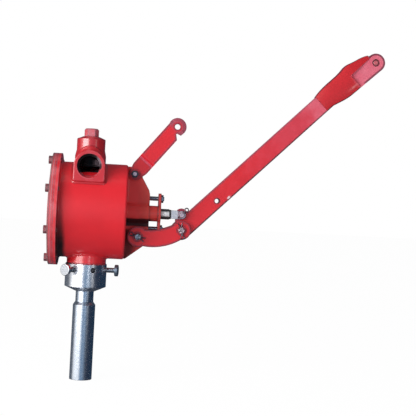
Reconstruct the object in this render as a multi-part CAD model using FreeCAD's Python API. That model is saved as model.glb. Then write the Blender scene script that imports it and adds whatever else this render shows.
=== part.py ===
import FreeCAD, Part
import math
import os

# Hand lever pump with two diaphragms, on the upper end of its suction pipe.
# Frame: origin at the centre of the pipe's cut lower end, +Z up the pipe,
# +X along the pump's axis towards the lever, -Y the side of the outlet. Millimetres.

V = FreeCAD.Vector
X_AXIS = V(1, 0, 0)
Y_AXIS = V(0, 1, 0)
Z_AXIS = V(0, 0, 1)

# Suction pipe: a 1 1/4 inch steel tube with a narrower, swaged upper end
PIPE_R = 21.2
PIPE_WALL = 2.6
PIPE_LENGTH = 141.0
SWAGE_LENGTH = 6.0
NECK_R = 17.0
NECK_LENGTH = 39.5

# Collar that clamps the pump head on the pipe
COLLAR_GRIP = 19.5
COLLAR_CONE_HEIGHT = 9.0
COLLAR_FOOT_WIDTH = 1.5
COLLAR_WALL = 7.7
COLLAR_SOCKET_DEPTH = 33.5
COLLAR_CHAMFER = 1.5
COLLAR_HOLE_COUNT = 6
COLLAR_HOLE_R = 4.9
COLLAR_HOLE_DROP = 11.5
COLLAR_TURN = -8.0
SOCKET_PLAY = 0.3

# Hand screws of the collar
SCREW_TURNS = {"front": -2, "right": 0, "rear": 2}
SCREW_PLAY = 0.3
SCREW_HEAD_R = 11.0
SCREW_HEAD_THICKNESS = 6.5
SCREW_HEAD_ROUND = 1.2
SCREW_STAND_OFF = 16.0

# Pump barrel, a hollow casting on a level axis, and the spigot below it
BARREL_R = 90.0
BARREL_WALL = 7.0
BARREL_LEFT = -54.5
BARREL_RIGHT = 70.0
END_WALL = 8.0
END_ROUND = 4.0
SPIGOT_STEP = 6.0
SPIGOT_LENGTH = 10.0
SPIGOT_TAIL_R = 31.0
SPIGOT_TAIL_LENGTH = 31.5
SUCTION_R = 15.0

# Flanged joint that grips the rim of the diaphragm
FLANGE_WIDTH = 15.5
FLANGE_THICKNESS = 7.0
RIM_THICKNESS = 3.5
COVER_THICKNESS = 6.0
COVER_DOME_INSET = 6.0
COVER_DOME_RISE = 2.5
COVER_DOME_ROUND = 5.0
COVER_BOLT_COUNT = 8
BOLT_R = 4.0
BOLT_HEAD_FLATS = 13.0
BOLT_HEAD_THICKNESS = 5.3
BOLT_WASHER_R = 7.4
BOLT_WASHER_THICKNESS = 1.4
BOLT_END = 1.5

# Outlet chest on the front of the barrel's crown, with a G 1 1/2 port
CHEST_X = -1.5
CHEST_Y = -30.0
CHEST_WALL = 5.5
CHEST_NECK_STEP = 2.4
CHEST_FLARE_HEIGHT = 11.0
CHEST_NECK_HEIGHT = 20.5
CHEST_SHOULDER_HEIGHT = 4.5
CHEST_TOP_LAND = 2.0
CHEST_ROUND = 1.5
PORT_DROP = 8.5
PORT_BORE_R = 22.4
PORT_WALL = 6.3
PORT_THREAD_LENGTH = 16.0
PORT_PASSAGE_STEP = 3.4
PORT_STAND_OUT = 6.5
PORT_FOOT_ROUND = 4.0
PLUG_FLATS = 23.2
PLUG_HEAD_HEIGHT = 15.0
PLUG_ROUND = 2.5
PLUG_THREAD_R = 8.5
PLUG_THREAD_LENGTH = 12.0

# Bracket on the barrel's end: web, stuffing box, upper ear and lower lug
WEB_THICKNESS = 14.0
EAR_REACH = 13.0
EAR_DROP = 17.0
EAR_R = 14.0
LUG_REACH = 24.0
LUG_DROP = 45.0
LUG_WALL = 9.0
BOX_REACH = 44.0
BOX_WALL = 3.5
WEB_SETBACK = 2.0
WEB_SHOULDER = 44.0
FOOT_REACH = 4.0
STUD_GAP = 6.3

# Gland follower, pressed into the stuffing box by two studs
ROD_R = 10.0
ROD_PLAY = 0.05
GLAND_SLEEVE_WALL = 5.0
GLAND_SLEEVE_DEPTH = 14.0
GLAND_STAND_OUT = 16.4
GLAND_PLATE_THICKNESS = 5.6
GLAND_EAR_R = 10.2
STUD_R = 4.0
STUD_DEPTH = 12.0
STUD_END = 1.5
STUD_NUT_FLATS = 13.0
STUD_NUT_THICKNESS = 4.0

# Piston rod and its fork
ROD_INNER_LENGTH = 40.0
ROD_REST_GAP = 19.5
LOCK_RING_THICKNESS = 3.2
LOCK_RING_R = 9.0
FORK_BASE_LENGTH = 4.5
FORK_LENGTH = 20.5
FORK_WALL = 3.0
FORK_CHEEK = 5.0

# Lever: a flat bar that turns on the fulcrum pin, with an eye for the fork
FULCRUM_DROP = 29.0
LEVER_ANGLE = 44.82
LEVER_OFFSET = -1.0
LEVER_WIDTH = 35.2
LEVER_THICKNESS = 12.0
LEVER_HUB_WALL = 8.0
LEVER_BAR_END = 400.0
LEVER_HOLE_AT = 89.0
LEVER_HOLE_ACROSS = -4.5
LEVER_HOLE_R = 4.2
EYE_PLAY = 1.5
EYE_WALL = 5.0
EYE_RISE = 1.1
BAR_CHAMFER = 0.9

# Grip cast on the upper end of the bar: for each section its distance along the lever,
# how far its middle lies across, and by how much it is wider and thicker than the bar on each side
GRIP_SECTIONS = [
    (366.0, -0.1, 0.6, 2.8),
    (386.0, 0.8, 2.8, 5.4),
    (401.0, -0.9, 5.1, 6.5),
    (417.0, -2.6, 6.6, 7.1),
    (433.0, -2.8, 7.4, 7.2),
    (448.0, -2.1, 8.5, 6.8),
    (464.0, -4.0, 7.1, 5.6),
    (479.0, -5.8, 5.2, 4.0),
    (498.0, -9.7, 2.4, 1.6),
]
GRIP_EDGE_SHARE = 0.74
GRIP_TIP_AT = 500.5
GRIP_TIP_ACROSS = -11.7
GRIP_TIP_R = 18.0
TAB_THICKNESS = 14.0
TAB_LENGTH = 54.0
TAB_RAMP = 5.0
TAB_EDGE = 3.0
RIVET_R = 3.4
RIVET_HEAD_R = 5.4
RIVET_HEAD_HEIGHT = 1.8
RIVET_FLAT_SHARE = 0.35
RIVET_SINK_R = 7.2
RIVET_SINK_DEPTH = 2.2

# Swinging links that carry the fulcrum
LINK_WIDTH = 33.0
LINK_END_WIDENING = 3.0
LINK_FULCRUM_WIDENING = 1.8
LINK_THICKNESS = 7.0
LINK_SAG = 8.5

# Clevis pins
PIN_R = 6.0
FORK_PIN_R = 5.0
PIN_PLAY = 0.05
PIN_HEAD_STEP = 2.5
FORK_PIN_HEAD_STEP = 2.0
PIN_HEAD_THICKNESS = 3.5
PIN_TAIL = 6.5
PIN_CHAMFER = 1.0
WASHER_WIDTH = 4.0
FORK_WASHER_WIDTH = 2.5
WASHER_THICKNESS = 1.6

# Latch arm that hooks the raised lever
LATCH_ANGLE = 51.0
LATCH_LENGTH = 121.0
LATCH_WIDTH = 32.0
LATCH_THICKNESS = 5.0
LATCH_HEEL = 9.5
LATCH_TAPER_AT = 14.0
LATCH_JOGGLE_AT = 31.0
LATCH_JOGGLE = 5.0
HOOK_R = 17.0
HOOK_HOLE_R = 5.3
HOOK_NOTCH_START = 20.0
HOOK_NOTCH_DEPTH = 10.3
HOOK_NOTCH_AT = 10.8
HOOK_NOTCH_END = 8.2
HOOK_BEVEL_R = 9.5
HOOK_BEVEL_DEPTH = 1.8
LATCH_BOLT_R = 4.0
LATCH_NUT_FLATS = 13.0
LATCH_NUT_THICKNESS = 6.5
LATCH_WASHER_R = 10.5
LATCH_BOLT_END = 2.0

# Running clearance between faces that slide past each other
SIDE_PLAY = 0.5

# Heights and radii that follow from the sizes above, from the pipe upwards
SOCKET_BOTTOM = PIPE_LENGTH + SWAGE_LENGTH + NECK_LENGTH
COLLAR_BOTTOM = SOCKET_BOTTOM - COLLAR_GRIP
COLLAR_TOP = SOCKET_BOTTOM + COLLAR_SOCKET_DEPTH
COLLAR_HOLE_Z = COLLAR_TOP - COLLAR_HOLE_DROP
SOCKET_R = SPIGOT_TAIL_R + SOCKET_PLAY
COLLAR_R = SOCKET_R + COLLAR_WALL
SPIGOT_R = SPIGOT_TAIL_R + SPIGOT_STEP
AXIS_Z = COLLAR_TOP + SPIGOT_LENGTH + BARREL_R
FLANGE_R = BARREL_R + FLANGE_WIDTH
BOLT_CIRCLE_R = BARREL_R + FLANGE_WIDTH / 2
COVER_DOME_R = BARREL_R - COVER_DOME_INSET
FLANGE_LEFT = BARREL_LEFT - FLANGE_THICKNESS
RIM_LEFT = FLANGE_LEFT - RIM_THICKNESS
COVER_LEFT = RIM_LEFT - COVER_THICKNESS

# Outlet chest
PORT_R = PORT_BORE_R + PORT_WALL
PORT_Z = AXIS_Z + BARREL_R - PORT_DROP
CHEST_R = PORT_R
CHEST_INNER_R = CHEST_R - CHEST_WALL
CHEST_NECK_R = CHEST_R - CHEST_NECK_STEP
CHEST_FRONT_Y = CHEST_Y - CHEST_R
CHEST_FLARE_TOP = PORT_Z + PORT_R + CHEST_NECK_STEP
CHEST_SHOULDER_Z = CHEST_FLARE_TOP + CHEST_NECK_HEIGHT
CHEST_TOP_Z = CHEST_SHOULDER_Z + CHEST_SHOULDER_HEIGHT
PORT_FOOT_Y = -math.sqrt(BARREL_R ** 2 - (PORT_Z - PORT_R - AXIS_Z) ** 2)
PORT_FACE_Y = PORT_FOOT_Y - PORT_STAND_OUT

# Bracket, gland and rod, from the barrel's end to the right
BOX_FACE = BARREL_RIGHT + BOX_REACH
GLAND_SLEEVE_R = ROD_R + GLAND_SLEEVE_WALL
BOX_R = GLAND_SLEEVE_R + BOX_WALL
STUD_RISE = BOX_R + STUD_R + STUD_GAP
GLAND_PLATE_LEFT = BOX_FACE + GLAND_STAND_OUT
GLAND_PLATE_RIGHT = GLAND_PLATE_LEFT + GLAND_PLATE_THICKNESS
FORK_BASE_LEFT = GLAND_PLATE_RIGHT + ROD_REST_GAP
FORK_HALF = FORK_PIN_R + FORK_WALL
LATCH_PIVOT = (BARREL_RIGHT + EAR_REACH, AXIS_Z + BARREL_R - EAR_DROP)
LINK_PIVOT = (BARREL_RIGHT + LUG_REACH, AXIS_Z - LUG_DROP)
FORK_PIVOT = (FORK_BASE_LEFT + FORK_LENGTH, AXIS_Z)
FULCRUM = (FORK_PIVOT[0], AXIS_Z - FULCRUM_DROP)
EYE_HOLE_R = FORK_PIN_R + EYE_PLAY

# Layers of the linkage, from its middle plane outwards
WEB_HALF = WEB_THICKNESS / 2
LEVER_HALF = LEVER_THICKNESS / 2
FORK_INNER_Y = LEVER_HALF + SIDE_PLAY
FORK_OUTER_Y = FORK_INNER_Y + FORK_CHEEK
HUB_FACE_Y = FORK_OUTER_Y + SIDE_PLAY
LINK_INNER_Y = HUB_FACE_Y + SIDE_PLAY
LINK_OUTER_Y = LINK_INNER_Y + LINK_THICKNESS


def cylinder_x(radius, x0, x1, y, z):
    return Part.makeCylinder(radius, x1 - x0, V(x0, y, z), X_AXIS)


def cylinder_y(radius, y0, y1, x, z):
    return Part.makeCylinder(radius, y1 - y0, V(x, y0, z), Y_AXIS)


def cylinder_z(radius, z0, z1, x, y):
    return Part.makeCylinder(radius, z1 - z0, V(x, y, z0), Z_AXIS)


def box(x0, x1, y0, y1, z0, z1):
    return Part.makeBox(x1 - x0, y1 - y0, z1 - z0, V(x0, y0, z0))


def ring_about_z(points, x, y):
    """Revolved solid from (radius, z) points, about the upright line at x, y."""
    wire = Part.makePolygon([V(x + r, y, z) for r, z in points + points[:1]])
    return Part.Face(wire).revolve(V(x, y, 0), Z_AXIS, 360)


def ring_about_pump_axis(points):
    """Revolved solid from (x, radius) points, about the barrel's level axis."""
    wire = Part.makePolygon([V(x, 0, AXIS_Z + r) for x, r in points + points[:1]])
    return Part.Face(wire).revolve(V(0, 0, AXIS_Z), X_AXIS, 360)


def rounded_wire(corners, y):
    """Closed outline in the XZ plane from (x, z, corner radius), as lines and tangent arcs."""
    edges = []
    previous_end = None
    first_start = None
    count = len(corners)
    for index, (x, z, radius) in enumerate(corners):
        here = V(x, y, z)
        before = V(corners[index - 1][0], y, corners[index - 1][1])
        after = V(corners[(index + 1) % count][0], y, corners[(index + 1) % count][1])
        back = (before - here).normalize()
        ahead = (after - here).normalize()
        half_turn = math.acos(max(-1.0, min(1.0, back.dot(ahead)))) / 2
        reach = radius / math.tan(half_turn)
        start = here + back * reach
        end = here + ahead * reach
        middle = here
        if radius > 0:
            inward = (back + ahead).normalize()
            middle = here + inward * (radius / math.sin(half_turn) - radius)
        if previous_end is not None and previous_end.distanceToPoint(start) > 1e-6:
            edges.append(Part.LineSegment(previous_end, start).toShape())
        if radius > 0:
            edges.append(Part.Arc(start, middle, end).toShape())
        if first_start is None:
            first_start = start
        previous_end = end
    if previous_end.distanceToPoint(first_start) > 1e-6:
        edges.append(Part.LineSegment(previous_end, first_start).toShape())
    return Part.Wire(edges)


def plate_xz(corners, y0, y1):
    return Part.Face(rounded_wire(corners, y0)).extrude(V(0, y1 - y0, 0))


def slot_plate(start, end, r0, r1, y0, y1):
    """Flat bar between two points of the XZ plane, with round ends of two radii."""
    x0, z0 = start
    x1, z1 = end
    length = math.hypot(x1 - x0, z1 - z0)
    slope = math.atan2(z1 - z0, x1 - x0)
    lean = math.acos((r0 - r1) / length)
    upper = slope + lean
    lower = slope - lean
    a = V(x0 + r0 * math.cos(upper), y0, z0 + r0 * math.sin(upper))
    b = V(x1 + r1 * math.cos(upper), y0, z1 + r1 * math.sin(upper))
    c = V(x1 + r1 * math.cos(lower), y0, z1 + r1 * math.sin(lower))
    d = V(x0 + r0 * math.cos(lower), y0, z0 + r0 * math.sin(lower))
    tip = V(x1 + r1 * math.cos(slope), y0, z1 + r1 * math.sin(slope))
    tail = V(x0 - r0 * math.cos(slope), y0, z0 - r0 * math.sin(slope))
    edges = [Part.LineSegment(a, b).toShape(), Part.Arc(b, tip, c).toShape()]
    edges += [Part.LineSegment(c, d).toShape(), Part.Arc(d, tail, a).toShape()]
    return Part.Face(Part.Wire(edges)).extrude(V(0, y1 - y0, 0))


def hexagon_x(flats, x0, x1, y, z):
    corner = flats / math.sqrt(3)
    turns = [math.radians(60 * k) for k in range(7)]
    wire = Part.makePolygon([V(x0, y + corner * math.sin(t), z + corner * math.cos(t)) for t in turns])
    return Part.Face(wire).extrude(V(x1 - x0, 0, 0))


def hexagon_y(flats, y0, y1, x, z):
    corner = flats / math.sqrt(3)
    turns = [math.radians(60 * k) for k in range(7)]
    wire = Part.makePolygon([V(x + corner * math.cos(t), y0, z + corner * math.sin(t)) for t in turns])
    return Part.Face(wire).extrude(V(0, y1 - y0, 0))


def in_lever(s, t):
    """Point of the XZ plane at distance s along the lever from the fulcrum and t across it."""
    turn = math.radians(LEVER_ANGLE)
    x = FULCRUM[0] + s * math.cos(turn) - t * math.sin(turn)
    z = FULCRUM[1] + s * math.sin(turn) + t * math.cos(turn)
    return x, z


def around_collar(shape, step):
    shape.rotate(V(0, 0, 0), Z_AXIS, COLLAR_TURN + step * 360 / COLLAR_HOLE_COUNT)
    return shape


def round_edges_at(shape, radius, x):
    """Circular edges of one radius about the pump's axis, at one place along it."""
    return [e for e in shape.Edges if isinstance(e.Curve, Part.Circle)
            and abs(e.Curve.Radius - radius) < 1e-6 and abs(e.Curve.Center.x - x) < 1e-6]


def chamfer_faces(plate, size):
    """Chamfer round the outline of both flat faces of a plate that stands in the XZ plane."""
    bounds = plate.BoundBox
    edges = []
    for edge in plate.Edges:
        for face_y in (bounds.YMin, bounds.YMax):
            if all(abs(vertex.Y - face_y) < 1e-6 for vertex in edge.Vertexes):
                edges.append(edge)
    return plate.makeChamfer(size, edges)


def make_suction_pipe():
    neck_inner = NECK_R - PIPE_WALL
    points = [
        (PIPE_R, 0),
        (PIPE_R, PIPE_LENGTH),
        (NECK_R, PIPE_LENGTH + SWAGE_LENGTH),
        (NECK_R, SOCKET_BOTTOM),
        (neck_inner, SOCKET_BOTTOM),
        (neck_inner, PIPE_LENGTH + SWAGE_LENGTH),
        (PIPE_R - PIPE_WALL, PIPE_LENGTH),
        (PIPE_R - PIPE_WALL, 0),
    ]
    return ring_about_z(points, 0, 0)


def make_pipe_collar():
    points = [
        (NECK_R, COLLAR_BOTTOM),
        (NECK_R + COLLAR_FOOT_WIDTH, COLLAR_BOTTOM),
        (COLLAR_R, COLLAR_BOTTOM + COLLAR_CONE_HEIGHT),
        (COLLAR_R, COLLAR_TOP - COLLAR_CHAMFER),
        (COLLAR_R - COLLAR_CHAMFER, COLLAR_TOP),
        (SOCKET_R, COLLAR_TOP),
        (SOCKET_R, SOCKET_BOTTOM),
        (NECK_R, SOCKET_BOTTOM),
    ]
    collar = ring_about_z(points, 0, 0)
    for step in range(COLLAR_HOLE_COUNT):
        hole = cylinder_x(COLLAR_HOLE_R, 0, COLLAR_R + 1, 0, COLLAR_HOLE_Z)
        collar = collar.cut(around_collar(hole, step))
    return collar


def make_hand_screw(step):
    head_left = COLLAR_R + SCREW_STAND_OFF
    shank = cylinder_x(COLLAR_HOLE_R - SCREW_PLAY, SPIGOT_TAIL_R, head_left, 0, COLLAR_HOLE_Z)
    head = cylinder_x(SCREW_HEAD_R, head_left, head_left + SCREW_HEAD_THICKNESS, 0, COLLAR_HOLE_Z)
    rims = [edge for edge in head.Edges if isinstance(edge.Curve, Part.Circle)]
    head = head.makeFillet(SCREW_HEAD_ROUND, rims)
    return around_collar(shank.fuse(head).removeSplitter(), step)


def outlet_passage():
    return cylinder_z(CHEST_INNER_R, AXIS_Z, CHEST_FLARE_TOP, CHEST_X, CHEST_Y)


def port_bore():
    return cylinder_y(PORT_BORE_R, PORT_FACE_Y, PORT_FACE_Y + PORT_THREAD_LENGTH, CHEST_X, PORT_Z)


def port_boss(y0, y1):
    """Boss round the port: half round above, with a square foot below."""
    left = CHEST_X - PORT_R
    right = CHEST_X + PORT_R
    foot = PORT_Z - PORT_R
    top = PORT_Z + PORT_R
    return plate_xz([
        (left, foot, PORT_FOOT_ROUND),
        (right, foot, PORT_FOOT_ROUND),
        (right, top, PORT_R),
        (left, top, PORT_R),
    ], y0, y1)


def suction_passage():
    return cylinder_z(SUCTION_R, COLLAR_TOP - SPIGOT_TAIL_LENGTH, AXIS_Z, 0, 0)


def make_pump_barrel():
    outer = cylinder_x(BARREL_R, BARREL_LEFT, BARREL_RIGHT, 0, AXIS_Z)
    outer = outer.makeFillet(END_ROUND, round_edges_at(outer, BARREL_R, BARREL_RIGHT))
    cavity = cylinder_x(BARREL_R - BARREL_WALL, BARREL_LEFT, BARREL_RIGHT - END_WALL, 0, AXIS_Z)
    guide = cylinder_x(ROD_R + ROD_PLAY, BARREL_LEFT, BARREL_RIGHT, 0, AXIS_Z)
    return outer.cut([cavity, guide, suction_passage(), outlet_passage(), port_bore()])


def make_body_flange():
    ring = ring_about_pump_axis([
        (FLANGE_LEFT, BARREL_R - BARREL_WALL),
        (FLANGE_LEFT, FLANGE_R),
        (BARREL_LEFT, FLANGE_R),
        (BARREL_LEFT, BARREL_R - BARREL_WALL),
    ])
    return ring.cut(cover_bolt_holes())


def make_inlet_spigot():
    tail_bottom = COLLAR_TOP - SPIGOT_TAIL_LENGTH
    spigot = cylinder_z(SPIGOT_R, COLLAR_TOP, AXIS_Z, 0, 0)
    tail = cylinder_z(SPIGOT_TAIL_R, tail_bottom, COLLAR_TOP, 0, 0)
    barrel = cylinder_x(BARREL_R, BARREL_LEFT - SPIGOT_R, BARREL_RIGHT + SPIGOT_R, 0, AXIS_Z)
    return spigot.fuse(tail).removeSplitter().cut([barrel, suction_passage()])


def cover_bolt_places():
    places = []
    for k in range(COVER_BOLT_COUNT):
        turn = math.radians((k + 0.5) * 360 / COVER_BOLT_COUNT)
        y = BOLT_CIRCLE_R * math.sin(turn)
        z = AXIS_Z + BOLT_CIRCLE_R * math.cos(turn)
        places.append((y, z))
    return places


def cover_bolt_holes():
    return [cylinder_x(BOLT_R, COVER_LEFT, BARREL_LEFT, y, z) for y, z in cover_bolt_places()]


def make_diaphragm_rim():
    inner = BARREL_R - BARREL_WALL
    rim = ring_about_pump_axis([
        (RIM_LEFT, inner),
        (RIM_LEFT, FLANGE_R),
        (FLANGE_LEFT, FLANGE_R),
        (FLANGE_LEFT, inner),
    ])
    return rim.cut(cover_bolt_holes())


def make_diaphragm_cover():
    """Dished cover: its centre stands out by the rise and is hollow behind by as much."""
    dome_left = COVER_LEFT - COVER_DOME_RISE
    dome_top_r = COVER_DOME_R - COVER_DOME_RISE
    cover = ring_about_pump_axis([
        (dome_left, 0),
        (dome_left, dome_top_r),
        (COVER_LEFT, COVER_DOME_R),
        (COVER_LEFT, FLANGE_R),
        (RIM_LEFT, FLANGE_R),
        (RIM_LEFT, COVER_DOME_R - COVER_THICKNESS),
        (RIM_LEFT - COVER_DOME_RISE, dome_top_r - COVER_THICKNESS),
        (RIM_LEFT - COVER_DOME_RISE, 0),
    ])
    cover = cover.makeFillet(COVER_DOME_ROUND, round_edges_at(cover, dome_top_r, dome_left))
    return cover.cut(cover_bolt_holes())


def make_cover_bolts():
    bolts = []
    for y, z in cover_bolt_places():
        washer_left = COVER_LEFT - BOLT_WASHER_THICKNESS
        washer = cylinder_x(BOLT_WASHER_R, washer_left, COVER_LEFT, y, z)
        head = hexagon_x(BOLT_HEAD_FLATS, washer_left - BOLT_HEAD_THICKNESS, washer_left, y, z)
        shank = cylinder_x(BOLT_R, COVER_LEFT, BARREL_LEFT + BOLT_END, y, z)
        bolts.append(washer.fuse([head, shank]))
    return Part.Compound(bolts)


def make_outlet_chest():
    column = ring_about_z([
        (0, AXIS_Z),
        (CHEST_R, AXIS_Z),
        (CHEST_R, CHEST_FLARE_TOP - CHEST_FLARE_HEIGHT),
        (CHEST_NECK_R, CHEST_FLARE_TOP),
        (CHEST_NECK_R, CHEST_SHOULDER_Z),
        (PLUG_FLATS / math.sqrt(3) + CHEST_TOP_LAND, CHEST_TOP_Z),
        (0, CHEST_TOP_Z),
    ], CHEST_X, CHEST_Y)
    shoulder = [e for e in column.Edges if isinstance(e.Curve, Part.Circle)
                and abs(e.Curve.Center.z - CHEST_SHOULDER_Z) < 1e-6]
    column = column.makeFillet(CHEST_ROUND, shoulder)
    stub = port_boss(CHEST_FRONT_Y, CHEST_Y)
    chest = column.fuse(stub).removeSplitter()
    port_passage = cylinder_y(PORT_BORE_R - PORT_PASSAGE_STEP, CHEST_FRONT_Y, CHEST_Y, CHEST_X, PORT_Z)
    plug_hole = cylinder_z(PLUG_THREAD_R, AXIS_Z, CHEST_TOP_Z, CHEST_X, CHEST_Y)
    barrel = cylinder_x(BARREL_R, BARREL_LEFT, BARREL_RIGHT, 0, AXIS_Z)
    return chest.cut([outlet_passage(), port_passage, plug_hole, barrel])


def make_outlet_port():
    boss = port_boss(PORT_FACE_Y, CHEST_FRONT_Y)
    rim = [e for e in boss.Edges if all(abs(v.Y - PORT_FACE_Y) < 1e-6 for v in e.Vertexes)]
    boss = boss.makeFillet(CHEST_ROUND, rim)
    passage = cylinder_y(PORT_BORE_R - PORT_PASSAGE_STEP, PORT_FACE_Y, CHEST_FRONT_Y, CHEST_X, PORT_Z)
    barrel = cylinder_x(BARREL_R, BARREL_LEFT, BARREL_RIGHT, 0, AXIS_Z)
    return boss.cut([port_bore(), passage, barrel])


def make_top_plug():
    corner = PLUG_FLATS / math.sqrt(3)
    turns = [math.radians(60 * k) for k in range(7)]
    wire = Part.makePolygon([V(CHEST_X + corner * math.cos(t), CHEST_Y + corner * math.sin(t), CHEST_TOP_Z)
                             for t in turns])
    head = Part.Face(wire).extrude(V(0, 0, PLUG_HEAD_HEIGHT))
    crown_r = corner - PLUG_ROUND
    seat = V(CHEST_X, CHEST_Y, CHEST_TOP_Z)
    cone = Part.makeCone(crown_r + PLUG_HEAD_HEIGHT, crown_r, PLUG_HEAD_HEIGHT, seat, Z_AXIS)
    head = head.common(cone)
    thread = cylinder_z(PLUG_THREAD_R, CHEST_TOP_Z - PLUG_THREAD_LENGTH, CHEST_TOP_Z, CHEST_X, CHEST_Y)
    return head.fuse(thread)


def make_end_bracket():
    wall = BARREL_RIGHT
    ax, az = LATCH_PIVOT
    px, pz = LINK_PIVOT
    web_face = BOX_FACE - WEB_SETBACK
    stud_land = STUD_RISE + STUD_R + 3
    lug_right = px + PIN_R + LUG_WALL
    foot = AXIS_Z - BARREL_R + 1
    web = plate_xz([
        (wall, az + EAR_R, 0),
        (ax + EAR_R / 2, az + EAR_R, 9),
        (ax + EAR_R + 2, az - EAR_R / 2, 7),
        (web_face, AXIS_Z + WEB_SHOULDER, 6),
        (BOX_FACE, AXIS_Z + stud_land, 2),
        (BOX_FACE, AXIS_Z - stud_land, 3),
        (lug_right, pz + PIN_R, 5),
        (lug_right, pz - PIN_R - LUG_WALL, 6),
        (wall + FOOT_REACH, foot + FOOT_REACH / 2, 3),
        (wall, foot, 0),
    ], -WEB_HALF, WEB_HALF)
    stuffing_box = cylinder_x(BOX_R, wall, BOX_FACE, 0, AXIS_Z)
    hub = cylinder_y(PIN_R + LUG_WALL, -HUB_FACE_Y, HUB_FACE_Y, px, pz)
    bracket = web.fuse([stuffing_box, hub]).removeSplitter()
    holes = [
        cylinder_x(ROD_R + ROD_PLAY, wall, BOX_FACE, 0, AXIS_Z),
        cylinder_x(GLAND_SLEEVE_R, BOX_FACE - GLAND_SLEEVE_DEPTH, BOX_FACE, 0, AXIS_Z),
        cylinder_y(PIN_R, -HUB_FACE_Y, HUB_FACE_Y, px, pz),
        cylinder_y(LATCH_BOLT_R, -WEB_HALF, WEB_HALF, ax, az),
    ]
    for side in (-1, 1):
        holes.append(cylinder_x(STUD_R, BOX_FACE - STUD_DEPTH, BOX_FACE, 0, AXIS_Z + side * STUD_RISE))
    return bracket.cut(holes)


def make_gland_follower():
    sleeve = cylinder_x(GLAND_SLEEVE_R, BOX_FACE - GLAND_SLEEVE_DEPTH, GLAND_PLATE_LEFT, 0, AXIS_Z)
    centre = cylinder_x(BOX_R, GLAND_PLATE_LEFT, GLAND_PLATE_RIGHT, 0, AXIS_Z)
    ears = []
    holes = [cylinder_x(ROD_R + ROD_PLAY, BARREL_RIGHT, GLAND_PLATE_RIGHT, 0, AXIS_Z)]
    for side in (-1, 1):
        z = AXIS_Z + side * STUD_RISE
        ears.append(cylinder_x(GLAND_EAR_R, GLAND_PLATE_LEFT, GLAND_PLATE_RIGHT, 0, z))
        holes.append(cylinder_x(STUD_R, BARREL_RIGHT, GLAND_PLATE_RIGHT, 0, z))
    neck = box(GLAND_PLATE_LEFT, GLAND_PLATE_RIGHT, -GLAND_EAR_R, GLAND_EAR_R, AXIS_Z - STUD_RISE, AXIS_Z + STUD_RISE)
    return sleeve.fuse([centre, neck] + ears).removeSplitter().cut(holes)


def make_gland_studs():
    right = GLAND_PLATE_RIGHT + STUD_NUT_THICKNESS + STUD_END
    return Part.Compound([cylinder_x(STUD_R, BOX_FACE - STUD_DEPTH, right, 0, AXIS_Z + side * STUD_RISE)
                          for side in (-1, 1)])


def make_gland_nuts():
    right = GLAND_PLATE_RIGHT + STUD_NUT_THICKNESS
    nuts = []
    for side in (-1, 1):
        z = AXIS_Z + side * STUD_RISE
        nut = hexagon_x(STUD_NUT_FLATS, GLAND_PLATE_RIGHT, right, 0, z)
        nuts.append(nut.cut(cylinder_x(STUD_R, GLAND_PLATE_RIGHT, right, 0, z)))
    return Part.Compound(nuts)


def make_piston_rod():
    inner_end = BARREL_RIGHT - ROD_INNER_LENGTH
    return cylinder_x(ROD_R, inner_end, FORK_BASE_LEFT - LOCK_RING_THICKNESS, 0, AXIS_Z)


def make_rod_lock_ring():
    return cylinder_x(LOCK_RING_R, FORK_BASE_LEFT - LOCK_RING_THICKNESS, FORK_BASE_LEFT, 0, AXIS_Z)


def make_rod_fork():
    x, z = FORK_PIVOT
    bottom = z - FORK_HALF
    top = z + FORK_HALF
    fork = box(FORK_BASE_LEFT, FORK_BASE_LEFT + FORK_BASE_LENGTH, -FORK_OUTER_Y, FORK_OUTER_Y, bottom, top)
    for y0 in (-FORK_OUTER_Y, FORK_INNER_Y):
        cheek = box(FORK_BASE_LEFT, x, y0, y0 + FORK_CHEEK, bottom, top)
        nose = cylinder_y(FORK_HALF, y0, y0 + FORK_CHEEK, x, z)
        fork = fork.fuse([cheek, nose])
    fork = fork.removeSplitter()
    return fork.cut(cylinder_y(FORK_PIN_R, -FORK_OUTER_Y, FORK_OUTER_Y, x, z))


def make_clevis_pin(radius, head_step, place, seat_y):
    x, z = place
    front = -(seat_y + WASHER_THICKNESS + PIN_TAIL)
    shank = cylinder_y(radius, front, seat_y, x, z)
    end = [e for e in shank.Edges if isinstance(e.Curve, Part.Circle) and abs(e.Curve.Center.y - front) < 1e-6]
    shank = shank.makeChamfer(PIN_CHAMFER, end)
    head = cylinder_y(radius + head_step, seat_y, seat_y + PIN_HEAD_THICKNESS, x, z)
    return shank.fuse(head).removeSplitter()


def make_washer(radius, width, place, seat_y):
    x, z = place
    disc = cylinder_y(radius + width, -(seat_y + WASHER_THICKNESS), -seat_y, x, z)
    return disc.cut(cylinder_y(radius, -(seat_y + WASHER_THICKNESS), -seat_y, x, z))


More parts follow.
